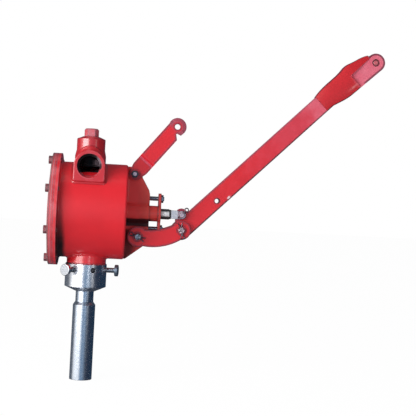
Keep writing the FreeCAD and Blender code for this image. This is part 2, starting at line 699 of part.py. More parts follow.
def make_swing_link(y0):
    px, pz = LINK_PIVOT
    fx, fz = FULCRUM
    slope = math.atan2(fz - pz, fx - px)
    span = math.hypot(fx - px, fz - pz)
    half = LINK_WIDTH / 2

    def place(along, across):
        x = px + along * math.cos(slope) - across * math.sin(slope)
        z = pz + along * math.sin(slope) + across * math.cos(slope)
        return V(x, y0, z)

    lower = Part.Arc(place(0, -half), place(span / 2, -half - LINK_SAG), place(span, -half))
    upper = Part.Arc(place(span, half), place(span / 2, half - LINK_SAG), place(0, half))
    left = Part.LineSegment(place(0, half), place(0, -half))
    right = Part.LineSegment(place(span, -half), place(span, half))
    outline = Part.Wire([side.toShape() for side in (left, lower, right, upper)])
    bar = chamfer_faces(Part.Face(outline).extrude(V(0, LINK_THICKNESS, 0)), BAR_CHAMFER)
    ends = []
    for pivot, widening in ((LINK_PIVOT, LINK_END_WIDENING), (FULCRUM, LINK_FULCRUM_WIDENING)):
        disc = cylinder_y(half + widening, y0, y0 + LINK_THICKNESS, *pivot)
        ends.append(chamfer_faces(disc, BAR_CHAMFER))
    link = bar.fuse(ends).removeSplitter()
    return link.cut([cylinder_y(PIN_R, y0, y0 + LINK_THICKNESS, x, z) for x, z in (LINK_PIVOT, FULCRUM)])


def lever_blank():
    half = LEVER_WIDTH / 2
    start = in_lever(0, LEVER_OFFSET)
    end = in_lever(LEVER_BAR_END, LEVER_OFFSET)
    return slot_plate(start, end, half, half, -LEVER_HALF, LEVER_HALF)


def make_lever_bar():
    eye_r = EYE_HOLE_R + EYE_WALL
    eye_place = (FORK_PIVOT[0], FORK_PIVOT[1] + EYE_RISE)
    eye = slot_plate(FULCRUM, eye_place, eye_r, eye_r, -LEVER_HALF, LEVER_HALF)
    hub = cylinder_y(PIN_R + LEVER_HUB_WALL, -HUB_FACE_Y, HUB_FACE_Y, *FULCRUM)
    lever = chamfer_faces(lever_blank(), BAR_CHAMFER).fuse([eye, hub]).removeSplitter()
    hole_x, hole_z = in_lever(LEVER_HOLE_AT, LEVER_HOLE_ACROSS)
    return lever.cut([
        cylinder_y(PIN_R + PIN_PLAY, -HUB_FACE_Y, HUB_FACE_Y, *FULCRUM),
        cylinder_y(EYE_HOLE_R, -LEVER_HALF, LEVER_HALF, *eye_place),
        cylinder_y(LEVER_HOLE_R, -LEVER_HALF, LEVER_HALF, hole_x, hole_z),
    ])


def grip_section(s, middle, wider, thicker):
    """Outline of the grip across the lever: four arcs that meet at softened corners."""
    half_t = LEVER_WIDTH / 2 + wider
    half_y = LEVER_HALF + thicker
    edge_y = half_y * GRIP_EDGE_SHARE
    edge_t = half_t - edge_y / 5

    def place(t, y):
        x, z = in_lever(s, middle + t)
        return V(x, y, z)

    corners = [place(edge_t, edge_y), place(-edge_t, edge_y), place(-edge_t, -edge_y), place(edge_t, -edge_y)]
    crowns = [place(0, half_y), place(-half_t, 0), place(0, -half_y), place(half_t, 0)]
    edges = [Part.Arc(corners[k], crowns[k], corners[(k + 1) % 4]).toShape() for k in range(4)]
    return Part.Wire(edges)


def make_lever_grip():
    body = Part.makeLoft([grip_section(*section) for section in GRIP_SECTIONS], True, False, False, 2)
    half_tab = TAB_THICKNESS / 2
    outer_y = LEVER_THICKNESS * 2
    tab_start = GRIP_TIP_AT - TAB_LENGTH
    tip_place = in_lever(GRIP_TIP_AT, GRIP_TIP_ACROSS)
    tab = slot_plate(in_lever(tab_start, GRIP_TIP_ACROSS), tip_place, GRIP_TIP_R - 2, GRIP_TIP_R, -half_tab, half_tab)
    grip = body.fuse(tab).removeSplitter()
    end = GRIP_TIP_AT + GRIP_TIP_R * 2
    for side in (-1, 1):
        profile = []
        for s, y in ((tab_start, half_tab), (end, half_tab), (end, outer_y), (tab_start - TAB_RAMP, outer_y)):
            x, z = in_lever(s, TAB_EDGE)
            profile.append(V(x, side * y, z))
        bottom_x, bottom_z = in_lever(0, -LEVER_WIDTH * 2)
        across = V(bottom_x - FULCRUM[0], 0, bottom_z - FULCRUM[1])
        grip = grip.cut(Part.Face(Part.makePolygon(profile + profile[:1])).extrude(across))
    x, z = tip_place
    sinks = [
        cylinder_y(RIVET_SINK_R, -half_tab, RIVET_SINK_DEPTH - half_tab, x, z),
        cylinder_y(RIVET_SINK_R, half_tab - RIVET_SINK_DEPTH, half_tab, x, z),
    ]
    return grip.cut([lever_blank(), cylinder_y(RIVET_R, -half_tab, half_tab, x, z)] + sinks)


def make_grip_rivet():
    x, z = in_lever(GRIP_TIP_AT, GRIP_TIP_ACROSS)
    seat = TAB_THICKNESS / 2 - RIVET_SINK_DEPTH
    flat = RIVET_HEAD_R * RIVET_FLAT_SHARE
    half = []
    for side in (-1, 1):
        top = side * (seat + RIVET_HEAD_HEIGHT)
        shoulder = side * (seat + RIVET_HEAD_HEIGHT * 0.75)
        head = Part.Arc(V(x + RIVET_HEAD_R, side * seat, z),
                        V(x + RIVET_HEAD_R * 0.78, shoulder, z),
                        V(x + flat, top, z)).toShape()
        half += [
            Part.LineSegment(V(x, top, z), V(x + flat, top, z)).toShape(),
            head,
            Part.LineSegment(V(x + RIVET_HEAD_R, side * seat, z), V(x + RIVET_R, side * seat, z)).toShape(),
        ]
    half.append(Part.LineSegment(V(x + RIVET_R, -seat, z), V(x + RIVET_R, seat, z)).toShape())
    half.append(Part.LineSegment(V(x, -seat - RIVET_HEAD_HEIGHT, z), V(x, seat + RIVET_HEAD_HEIGHT, z)).toShape())
    outline = Part.Wire(Part.__sortEdges__(half))
    return Part.Face(outline).revolve(V(x, 0, z), Y_AXIS, 360)


def latch_frame():
    """Directions along and across the latch arm in the XZ plane."""
    turn = math.radians(LATCH_ANGLE)
    return V(math.cos(turn), 0, math.sin(turn)), V(-math.sin(turn), 0, math.cos(turn))


def in_latch(distance, across):
    forward, sideways = latch_frame()
    spot = V(LATCH_PIVOT[0], 0, LATCH_PIVOT[1]) + forward * distance + sideways * across
    return spot.x, spot.z


def make_latch_arm():
    forward, sideways = latch_frame()
    face_y = -(WEB_HALF + SIDE_PLAY)
    inner0 = face_y - LATCH_THICKNESS
    outer0 = inner0 - LATCH_JOGGLE
    half = LATCH_WIDTH / 2
    heel = LATCH_HEEL
    hook_x, hook_z = in_latch(LATCH_LENGTH, 0)

    outline = [
        (-heel, heel, heel - 0.5),
        (-heel, -heel, heel - 0.5),
        (LATCH_TAPER_AT, -half, half),
        (LATCH_LENGTH - HOOK_NOTCH_START, -half, 2),
        (LATCH_LENGTH - HOOK_NOTCH_AT, HOOK_NOTCH_DEPTH - half, 1.5),
        (LATCH_LENGTH - HOOK_NOTCH_END, -half, 0),
        (LATCH_LENGTH, -half, 0),
        (LATCH_LENGTH, half, 0),
        (LATCH_TAPER_AT, half, half),
    ]
    corners = [in_latch(distance, across) + (radius,) for distance, across, radius in outline]
    notch = plate_xz([in_latch(distance, across) + (0,) for distance, across in (
        (LATCH_LENGTH - HOOK_NOTCH_START, -half),
        (LATCH_LENGTH - HOOK_NOTCH_AT, HOOK_NOTCH_DEPTH - half),
        (LATCH_LENGTH - HOOK_NOTCH_END, -half),
        (LATCH_LENGTH - HOOK_NOTCH_END, -half - HOOK_R),
    )], outer0, face_y)
    hook = cylinder_y(HOOK_R, outer0, face_y, hook_x, hook_z).cut(notch)
    blank = plate_xz(corners, outer0, face_y).fuse(hook).removeSplitter()

    # Side view of the bent strip: flat on the ear, joggled outwards, flat again to the hook
    step = LATCH_JOGGLE_AT
    past_end = LATCH_LENGTH + HOOK_R + 1
    profile = [
        (-half, face_y),
        (step, face_y),
        (step + LATCH_JOGGLE, face_y - LATCH_JOGGLE),
        (past_end, face_y - LATCH_JOGGLE),
        (past_end, outer0),
        (step + LATCH_JOGGLE, outer0),
        (step, inner0),
        (-half, inner0),
    ]
    points = []
    for distance, y in profile + profile[:1]:
        x, z = in_latch(distance, -LATCH_WIDTH)
        points.append(V(x, y, z))
    strip = Part.Face(Part.makePolygon(points)).extrude(sideways * LATCH_WIDTH * 2)
    arm = blank.common(strip)

    # Bevel of the hook's outer face, on the half that stands beyond the strip
    bevel = Part.makeCone(HOOK_R + 1, HOOK_BEVEL_R, HOOK_BEVEL_DEPTH, V(hook_x, outer0 + HOOK_BEVEL_DEPTH, hook_z),
                          V(0, -1, 0))
    ring = cylinder_y(HOOK_R + 1, outer0, outer0 + HOOK_BEVEL_DEPTH, hook_x, hook_z).cut(bevel)
    beyond = Part.makeBox(HOOK_R * 2, HOOK_BEVEL_DEPTH, HOOK_R * 4)
    beyond.rotate(V(0, 0, 0), Y_AXIS, -LATCH_ANGLE)
    corner = V(hook_x, outer0, hook_z) - sideways * HOOK_R * 2
    beyond.translate(corner)
    arm = arm.cut(ring.common(beyond))
    ax, az = LATCH_PIVOT
    arm = arm.cut(cylinder_y(LATCH_BOLT_R + PIN_PLAY, outer0, face_y, ax, az))
    return arm.cut(cylinder_y(HOOK_HOLE_R, outer0, face_y, hook_x, hook_z))


def latch_washer_faces():
    inner = -(WEB_HALF + LATCH_THICKNESS + SIDE_PLAY * 2)
    return inner - WASHER_THICKNESS, inner


def make_latch_washer():
    outer, inner = latch_washer_faces()
    x, z = LATCH_PIVOT
    disc = cylinder_y(LATCH_WASHER_R, outer, inner, x, z)
    return disc.cut(cylinder_y(LATCH_BOLT_R, outer, inner, x, z))


def make_latch_bolt():
    x, z = LATCH_PIVOT
    front = latch_washer_faces()[0] - LATCH_NUT_THICKNESS - LATCH_BOLT_END
    head = hexagon_y(LATCH_NUT_FLATS, WEB_HALF, WEB_HALF + BOLT_HEAD_THICKNESS, x, z)
    return cylinder_y(LATCH_BOLT_R, front, WEB_HALF, x, z).fuse(head).removeSplitter()


def make_latch_nut():
    x, z = LATCH_PIVOT
    inner = latch_washer_faces()[0]
    nut = hexagon_y(LATCH_NUT_FLATS, inner - LATCH_NUT_THICKNESS, inner, x, z)
    return nut.cut(cylinder_y(LATCH_BOLT_R, inner - LATCH_NUT_THICKNESS, inner, x, z))


def build_nodes():
    nodes = {
        "suction_pipe": make_suction_pipe(),
        "pipe_collar": make_pipe_collar(),
        "pump_barrel": make_pump_barrel(),
        "body_flange": make_body_flange(),
        "inlet_spigot": make_inlet_spigot(),
        "diaphragm_rim": make_diaphragm_rim(),
        "diaphragm_cover": make_diaphragm_cover(),
        "cover_bolts": make_cover_bolts(),
        "outlet_chest": make_outlet_chest(),
        "outlet_port": make_outlet_port(),
        "top_plug": make_top_plug(),
        "end_bracket": make_end_bracket(),
        "gland_follower": make_gland_follower(),
        "gland_studs": make_gland_studs(),
        "gland_nuts": make_gland_nuts(),
        "piston_rod": make_piston_rod(),
        "rod_lock_ring": make_rod_lock_ring(),
        "rod_fork": make_rod_fork(),
        "fork_pin": make_clevis_pin(FORK_PIN_R, FORK_PIN_HEAD_STEP, FORK_PIVOT, FORK_OUTER_Y),
        "fork_pin_washer": make_washer(FORK_PIN_R, FORK_WASHER_WIDTH, FORK_PIVOT, FORK_OUTER_Y),
        "swing_link_front": make_swing_link(-LINK_OUTER_Y),
        "swing_link_rear": make_swing_link(LINK_INNER_Y),
        "link_pin": make_clevis_pin(PIN_R, PIN_HEAD_STEP, LINK_PIVOT, LINK_OUTER_Y),
        "link_pin_washer": make_washer(PIN_R, WASHER_WIDTH, LINK_PIVOT, LINK_OUTER_Y),
        "fulcrum_pin": make_clevis_pin(PIN_R, PIN_HEAD_STEP, FULCRUM, LINK_OUTER_Y),
        "fulcrum_pin_washer": make_washer(PIN_R, WASHER_WIDTH, FULCRUM, LINK_OUTER_Y),
        "lever_bar": make_lever_bar(),
        "lever_grip": make_lever_grip(),
        "grip_rivet": make_grip_rivet(),
        "latch_arm": make_latch_arm(),
        "latch_washer": make_latch_washer(),
        "latch_bolt": make_latch_bolt(),
        "latch_nut": make_latch_nut(),
    }
    for side, turn in SCREW_TURNS.items():
        nodes["hand_screw_" + side] = make_hand_screw(turn)
    return nodes


os.makedirs("parts", exist_ok=True)
for name, shape in build_nodes().items():
    shape.exportStep("parts/" + name + ".step")
    print(name, round(shape.Volume), len(shape.Solids), shape.isValid())
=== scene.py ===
import math

import bmesh
import bpy
from mathutils import Matrix, Vector


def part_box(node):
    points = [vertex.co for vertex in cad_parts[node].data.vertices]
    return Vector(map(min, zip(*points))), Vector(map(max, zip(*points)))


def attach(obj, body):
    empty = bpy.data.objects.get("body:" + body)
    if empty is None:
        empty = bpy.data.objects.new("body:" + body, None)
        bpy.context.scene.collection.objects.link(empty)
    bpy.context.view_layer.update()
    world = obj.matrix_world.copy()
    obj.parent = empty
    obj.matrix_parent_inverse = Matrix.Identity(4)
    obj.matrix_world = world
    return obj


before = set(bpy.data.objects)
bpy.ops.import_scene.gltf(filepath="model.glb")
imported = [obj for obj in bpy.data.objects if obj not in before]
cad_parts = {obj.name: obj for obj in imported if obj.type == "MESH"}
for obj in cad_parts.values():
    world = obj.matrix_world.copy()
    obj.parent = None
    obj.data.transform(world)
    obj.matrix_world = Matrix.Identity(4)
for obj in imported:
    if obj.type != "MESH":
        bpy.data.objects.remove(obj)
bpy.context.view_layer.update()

# Looks of a hand lever pump. Metres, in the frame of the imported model: +Z up the pipe,
# +X along the pump's axis towards the lever, -Y the side of the outlet.


class Wire:
    """One socket in a tree. Sums written on it add Math nodes."""

    def __init__(self, maker, socket):
        self.maker = maker
        self.socket = socket

    def __add__(self, other):
        return self.maker.maths("ADD", self, other)

    def __mul__(self, other):
        return self.maker.maths("MULTIPLY", self, other)

    def __sub__(self, other):
        return self.maker.maths("SUBTRACT", self, other)

    def __rsub__(self, other):
        return self.maker.maths("SUBTRACT", other, self)

    def __truediv__(self, other):
        return self.maker.maths("DIVIDE", self, other)

    def __rtruediv__(self, other):
        return self.maker.maths("DIVIDE", other, self)

    __radd__ = __add__
    __rmul__ = __mul__


class Maker:
    """Adds nodes to one tree: a type, its settings, then the values or links of its sockets."""

    def __init__(self, tree):
        self.tree = tree

    def add(self, kind, settings=None, sockets=None, out=0):
        node = self.tree.nodes.new(kind)
        for key, value in (settings or {}).items():
            setattr(node, key, value)
        for key, value in (sockets or {}).items():
            if isinstance(value, Wire):
                self.tree.links.new(value.socket, node.inputs[key])
            else:
                node.inputs[key].default_value = value
        return Wire(self, node.outputs[out]) if len(node.outputs) else node

    def also(self, wire, out):
        """Another output of the node that a wire comes from."""
        return Wire(self, wire.socket.node.outputs[out])

    def maths(self, operation, *values):
        return self.add("ShaderNodeMath", {"operation": operation}, dict(enumerate(values)))

    def distance(self, a, b):
        """How far a place is from a point, when a and b are its two ways off."""
        return self.maths("SQRT", a * a + b * b)

    def split(self, vector, letters):
        """The parts of a vector along the axes with these letters."""
        parts = self.add("ShaderNodeSeparateXYZ", None, {"Vector": vector})
        return [self.also(parts, letter) for letter in letters]

    def between(self, value, low, high):
        """0 below low, 1 above high, and a soft step between them."""
        sockets = {"Value": value, "From Min": low, "From Max": high}
        return self.add("ShaderNodeMapRange", {"interpolation_type": "SMOOTHSTEP"}, sockets)

    def tint(self, factor, first, second):
        """The first colour where the factor is 0, the second where it is 1."""
        return self.add("ShaderNodeMix", {"data_type": "RGBA"}, {0: factor, 6: first, 7: second}, out=2)


class Finish(Maker):
    """A material, with the few patterns that this pump's surfaces are made of. Its dull value is how
    far grime and painted shade take the gloss of the coat away."""

    def __init__(self, name):
        self.material = bpy.data.materials.new(name)
        self.material.use_nodes = True
        super().__init__(self.material.node_tree)
        self.tree.nodes.clear()
        self.place = self.add("ShaderNodeTexCoord", out="Object")
        self.dull = 0.0

    def axes(self, letters):
        """The place on the piece, along the axes with these letters."""
        return self.split(self.place, letters)

    def grain(self, scale, detail=2.0, place=None, rough=0.5):
        sockets = {"Vector": place or self.place, "Scale": scale, "Detail": detail, "Roughness": rough}
        return self.add("ShaderNodeTexNoise", None, sockets)

    def wobble(self, scale, size):
        """A small way off to either side, which makes a mark's edge ragged."""
        return size * (self.grain(scale) - 0.5)

    def band(self, value, start, full, last, end):
        """0 outside start and end, 1 from full to last."""
        return self.between(value, start, full) * (1 - self.between(value, last, end))

    def soft_edges(self, radius):
        return self.add("ShaderNodeBevel", {"samples": 6}, {"Radius": radius})

    def edge_mask(self, rounded, low, high):
        """1 along the part's outer and inner edges, where the rounded normal leaves the face's own."""
        sockets = {0: rounded, 1: self.add("ShaderNodeNewGeometry", out="Normal")}
        alike = self.add("ShaderNodeVectorMath", {"operation": "DOT_PRODUCT"}, sockets, out="Value")
        return self.between(1 - alike, low, high)

    def hollows(self, reach, alone=True):
        """1 in corners and recesses, of the piece alone or with its neighbours."""
        settings = {"samples": 6, "only_local": alone}
        open_sky = self.add("ShaderNodeAmbientOcclusion", settings, {"Distance": reach}, out="AO")
        return 1 - open_sky

    def turned(self, start, full):
        """1 on faces that look along the pump or up and down, 0 on those that look to the front or rear."""
        face = self.add("ShaderNodeNewGeometry", out="Normal")
        return self.between(1 - self.maths("ABSOLUTE", self.split(face, "Y")[0]), start, full)

    def relief(self, height, depth, normal):
        """Bumps that stand this far out of a face with this normal."""
        sockets = {"Height": height, "Distance": depth, "Strength": 1.0, "Normal": normal}
        return self.add("ShaderNodeBump", None, sockets)

    def shade(self, **sockets):
        named = {key.replace("_", " ").title().replace("Ior", "IOR"): value for key, value in sockets.items()}
        surface = self.add("ShaderNodeBsdfPrincipled", None, named)
        self.add("ShaderNodeOutputMaterial", None, {"Surface": surface})
        return self.material


QUARTER = math.pi / 2

# Sizes of the castings that the marks and the corner fillets follow
AXIS_Z = 0.320
BARREL_R = 0.090
BARREL_LEFT = -0.0545
BARREL_RIGHT = 0.070
CHEST_X = -0.0015
CHEST_Y = -0.030
CHEST_R = 0.0287
CHEST_FLARE_FOOT = 0.4216
CHEST_FLARE_TOP = 0.4326
CHEST_NECK_R = 0.0263
CHEST_BORE_R = 0.0232
CHEST_BORE_FOOT = 0.3605
CHEST_TOP = 0.4340
PORT_Z = 0.4015
PORT_BORE_R = 0.0224
PORT_MOUTH_Y = -0.0786
PORT_END_Y = -0.0080
PORT_THREAD_AT = 0.0022
PORT_FOOT_ROUND = 0.004
SPIGOT_R = 0.037
WEB_HALF = 0.007
BOX_R = 0.0185
BOX_FACE = 0.114
BOX_EDGE = 0.0015
COLLAR_TOP = 0.220
COVER_DOME_RISE = 0.0025
COVER_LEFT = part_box("diaphragm_cover")[0].x + COVER_DOME_RISE
COVER_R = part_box("diaphragm_cover")[1].y
GLAND_PLATE_THICKNESS = 0.0056
STUD_R = 0.004
THREAD_SUNK = 0.00018

# Split pins go through the link pins and the fork pin this far from their ends
LINK_PIN_HOLE_AT = 0.0031
FORK_PIN_HOLE_AT = 0.0030

# Places on the lever and the latch arm are counted from their pivots, along them and across them
FULCRUM_X = 0.176
FULCRUM_Z = 0.291
LEVER_TURN = math.radians(44.82)
LEVER_HOLE_AT = 0.0897
LEVER_HOLE_BELOW = 0.0052
LEVER_HOLE_R = 0.0048
FLAKE_AT = 0.1105
FLAKE_BELOW = 0.0148
TAB_START = 0.4465
TAB_EDGE = 0.0030
TAB_FACE = 0.0070
TAB_EYE_AT = 0.5005
TAB_EYE_ACROSS = -0.0117
TAB_EYE_R = 0.0068
LATCH_X = 0.083
LATCH_Z = 0.393
LATCH_TURN = math.radians(51.0)
LATCH_REACH = 0.121

# Colours, as linear light
ENAMEL = (0.78, 0.013, 0.024, 1)
ENAMEL_DEEP = (0.44, 0.007, 0.013, 1)
ENAMEL_WORN = (0.70, 0.16, 0.20, 1)
ENAMEL_LIT = (0.92, 0.035, 0.045, 1)
PAINTED_SHADE_RED = (0.035, 0.004, 0.006, 1)
PAINTED_SHADE_AND_OIL = (0.016, 0.002, 0.003, 1)
BLACK_OIL_AND_SHADE = (0.012, 0.013, 0.016, 1)
RIM_LINE = (0.120, 0.022, 0.040, 1)
MAUVE = (0.40, 0.075, 0.12, 1)
PAINTED_SHEEN = (0.84, 0.115, 0.185, 1)
PAINTED_SHEEN_MOST = (0.88, 0.18, 0.25, 1)
PAINTED_SHEEN_PALE = (0.93, 0.25, 0.33, 1)
CHALKY = (0.80, 0.20, 0.22, 1)
FLAKED = (0.88, 0.66, 0.70, 1)
BORE_SHADE_BLACK = (0.008, 0.002, 0.003, 1)
BORE_SHADE_BROWN = (0.024, 0.008, 0.010, 1)
BORE_GLINT = (0.26, 0.19, 0.22, 1)
BORE_LIT_PATCH = (0.92, 0.70, 0.80, 1)
COVER_EDGE_HIGHLIGHT = (0.66, 0.25, 0.28, 1)
COVER_EDGE_DULL = (0.29, 0.135, 0.140, 1)
BRACKET_BROWN = (0.30, 0.15, 0.08, 1)
BOLT_WORN = (0.15, 0.085, 0.090, 1)
PLUG_WORN = (0.60, 0.30, 0.34, 1)
TAB_OUTLINE = (0.17, 0.03, 0.055, 1)
HOOK_RING_SHADE = (0.34, 0.065, 0.105, 1)
OVERSPRAY = (0.22, 0.085, 0.115, 1)
RING_GREY = (0.045, 0.045, 0.05, 1)
ZINC_STAIN = (0.20, 0.22, 0.27, 1)
ZINC_CORNER_SHADE = (0.045, 0.055, 0.075, 1)


def red_enamel(name, sand, depth, wear=0.35, gloss=0.34, marks=(), rim=0.0045, line=0.8, deep=0.0, corner_shade=0.7,
               coat=0.5, haze=0.0):
    """Red enamel on iron: sand is the size of its casting grain, depth how far that stands out,
    rim and line the width and strength of the dull line along its edges, haze that of a wider
    mauve one, deep how much darker the red is, corner_shade how much painted shade darkens its corners."""
    f = Finish(name)
    rounded = f.soft_edges(0.0011)
    cloudy = f.grain(9.0, 3.0)
    speckle = f.grain(sand, 3.0, rough=0.6)
    colour = f.tint(f.between(cloudy, 0.35, 0.70), ENAMEL_DEEP, ENAMEL)
    colour = f.tint(0.60 + 0.30 * cloudy, colour, ENAMEL)
    colour = f.tint(deep, colour, ENAMEL_DEEP) if deep else colour
    rough = gloss + 0.10 * speckle
    wide = f.soft_edges(rim)
    patchy = f.between(f.grain(85.0), 0.38, 0.62)
    colour = f.tint(f.edge_mask(wide, 0.002, 0.020) * patchy * wear, colour, ENAMEL_WORN)
    colour = f.tint(f.edge_mask(wide, 0.002, 0.012) * haze, colour, MAUVE) if haze else colour
    colour = f.tint(f.edge_mask(wide, 0.010, 0.040) * line, colour, RIM_LINE)
    for mark in marks:
        colour, rough = mark(f, colour, rough)
    # Painted shade: ambient occlusion darkens the corners and recesses
    corner = f.between(f.hollows(0.008), 0.22, 0.85) * corner_shade
    colour = f.tint(corner, colour, PAINTED_SHADE_RED)
    height = speckle * 0.6 + f.grain(sand * 0.22, 1.0)
    return f.shade(base_color=colour, roughness=rough + 0.2 * corner, normal=f.relief(height, depth, rounded),
                   coat_weight=coat * (1 - f.dull), coat_roughness=0.16, coat_ior=1.75 if coat > 0.6 else 1.5)


def in_bore(f, from_axis, bore_r):
    """1 inside a bore and on its wall."""
    return 1 - f.between(from_axis, bore_r + 0.0002, bore_r + 0.0006)


def shaded_bare_bores(f, colour, rough):
    """The bores of the chest and the port are bare iron, painted near black as shade, with a painted glint
    on the port's right wall and a painted patch of light on the chest's rear right wall. Below a slanted
    line that copies the edge of the rim's shadow, the port's lower wall keeps its red."""
    x, y, z = f.axes("XYZ")
    sideways = x - CHEST_X
    up = z - PORT_Z
    port_length = f.band(y, PORT_MOUTH_Y - 0.0006, PORT_MOUTH_Y, PORT_END_Y, PORT_END_Y + 0.0006)
    in_port = in_bore(f, f.distance(sideways, up), PORT_BORE_R) * port_length
    chest_height = f.band(z, CHEST_BORE_FOOT - 0.0005, CHEST_BORE_FOOT, CHEST_TOP, CHEST_TOP + 0.0005)
    in_chest = in_bore(f, f.distance(sideways, y - CHEST_Y), CHEST_BORE_R) * chest_height
    # Painted shadow: the wall keeps its red below this slanted edge of the rim's shadow, and is near black
    # above it
    shadow_edge = up - 0.22 * sideways + f.wobble(260.0, 0.0020)
    painted = (1 - f.between(shadow_edge, -0.0098, -0.0082)) * (1 - f.between(y, -0.0565, -0.0550))
    inside = f.maths("MAXIMUM", in_port, in_chest) * (1 - painted)
    # Painted shade: the bare iron inside is near black
    bare = f.tint(f.grain(240.0), BORE_SHADE_BLACK, BORE_SHADE_BROWN)
    # Painted glint on the port's right wall
    port_glint = in_port * f.between(sideways, 0.0110, 0.0160) * f.between(up, 0.0030, 0.0075)
    bare = f.tint(port_glint * (1 - f.between(y, -0.0600, -0.0450)), bare, BORE_GLINT)
    # Painted patch of light on the chest's rear right wall
    lit_patch = f.band(sideways, 0.0015, 0.0120, 0.0225, 0.0240) * f.band(up, 0.0005, 0.0055, 0.0120, 0.0160)
    bare = f.tint(lit_patch * f.between(y, -0.0400, -0.0250), bare, BORE_LIT_PATCH)
    f.dull = f.dull + inside
    return f.tint(inside, colour, bare), rough + 0.1 * inside


def darker_below(f, z, least, more):
    """How low a place on the barrel is, from 0 to 1, and how dark the grime and painted shadow are there."""
    low = 1 - f.between(z, 0.250, 0.372)
    return low, least + more * low * (0.35 + 0.65 * low)


def flange_shadow_and_grime(f, colour, rough):
    """Dark oily grime and the flange's painted shadow on the barrel beside its flange, wider and darker
    below.
    """
    x, z = f.axes("XZ")
    low, darkness = darker_below(f, z, 0.02, 0.96)
    # Painted shadow of the flange, with grime, on the barrel beside it
    ragged = x - BARREL_LEFT + f.wobble(60.0, 0.003) - 0.0080 * low
    f.dull = (1 - f.between(ragged, 0.0010, 0.0105)) * darkness
    return f.tint(f.dull, colour, PAINTED_SHADE_AND_OIL), rough + 0.1 * f.dull


def flange_back_shade_and_chalk(f, colour, rough):
    """The same grime and painted shade on the flange's own face beside the barrel, and chalky paint on its
    rim.
    """
    x, z = f.axes("XZ")
    low, darkness = darker_below(f, z, 0.04, 0.94)
    # Painted shade, with grime, on the flange's back face
    back = f.between(x, BARREL_LEFT - 0.0012, BARREL_LEFT - 0.0004)
    chalky = f.between(f.grain(34.0), 0.30, 0.72) * (1 - back)
    colour = f.tint(chalky * 0.38, colour, CHALKY)
    f.dull = back * darkness
    return f.tint(f.dull, colour, PAINTED_SHADE_AND_OIL), rough + 0.1 * f.dull


def cover_rim(f, colour, rough):
    """The cover's outer edge is darker and duller, with a painted highlight line behind it."""
    x, y, z = f.axes("XYZ")
    behind = x - COVER_LEFT + f.wobble(95.0, 0.0012)
    rim = f.between(f.distance(y, z - AXIS_Z), COVER_R - 0.0030, COVER_R - 0.0010)
    # Painted highlight line behind the cover's edge
    pale = f.band(behind, 0.0034, 0.0044, 0.0058, 0.0072)
    colour = f.tint(pale * rim * 0.60, colour, COVER_EDGE_HIGHLIGHT)
    dull = (1 - f.between(behind, 0.0022, 0.0040)) * rim
    return f.tint(dull * 0.80, colour, COVER_EDGE_DULL), rough + 0.05 * dull


def bracket_painted_light_and_shade(f, colour, rough):
    """Painted shade on the underside of the stuffing box and a painted shadow in the corner behind the links,
    a browner tint as painted shade, and painted light on the web beside the barrel.
    """
    x, z = f.axes("XZ")
    ragged = z + f.wobble(90.0, 0.0015)
    # Painted shade along the underside of the stuffing box
    under = f.band(ragged, 0.2925, 0.2960, 0.3075, 0.3115) * (1 - f.between(x, 0.112, 0.128))
    # Painted shadow in the corner behind the links
    behind = (1 - f.between(ragged, 0.284, 0.293)) * (1 - f.between(x, 0.080, 0.100))
    f.dull = f.maths("MAXIMUM", under, behind * 0.85)
    # Painted shade: a browner tint all over
    colour = f.tint(0.22, colour, BRACKET_BROWN)
    # Painted light on the web beside the barrel, where the barrel shades it
    lit_near_barrel = 1 - f.between(x, 0.085, 0.108)
    colour = f.tint(lit_near_barrel * 0.65, colour, ENAMEL_LIT)
    return f.tint(f.dull * 0.95, colour, PAINTED_SHADE_AND_OIL), rough + 0.1 * f.dull


def dull_bolts(f, colour, rough):
    """Spanners wore the paint off the bolts, down to a dull grey red."""
    worn = f.between(f.grain(150.0, 3.0), 0.25, 0.75)
    return f.tint(0.72 + 0.20 * worn, colour, BOLT_WORN), rough + 0.05 * worn


def rubbed_thin(f, colour, rough):
    """Wrenches and hands wore the paint thin."""
    thin = f.between(f.grain(120.0, 3.0), 0.25, 0.70)
    return f.tint(0.20 + 0.35 * thin, colour, PLUG_WORN), rough


def tail_shade(f, colour, rough):
    """Painted shade: the spigot is dark where it sits in the collar, below the collar's top."""
    above = f.between(f.axes("Z")[0], COLLAR_TOP - 0.0012, COLLAR_TOP - 0.0004)
    return f.tint(1 - above, colour, PAINTED_SHADE_AND_OIL), rough


def along_arm(f, pivot_x, pivot_z, turn):
    """Distance along an arm from its pivot, and across it."""
    x, z = f.axes("XZ")
    dx, dz = x - pivot_x, z - pivot_z
    return dx * math.cos(turn) + dz * math.sin(turn), dz * math.cos(turn) - dx * math.sin(turn)


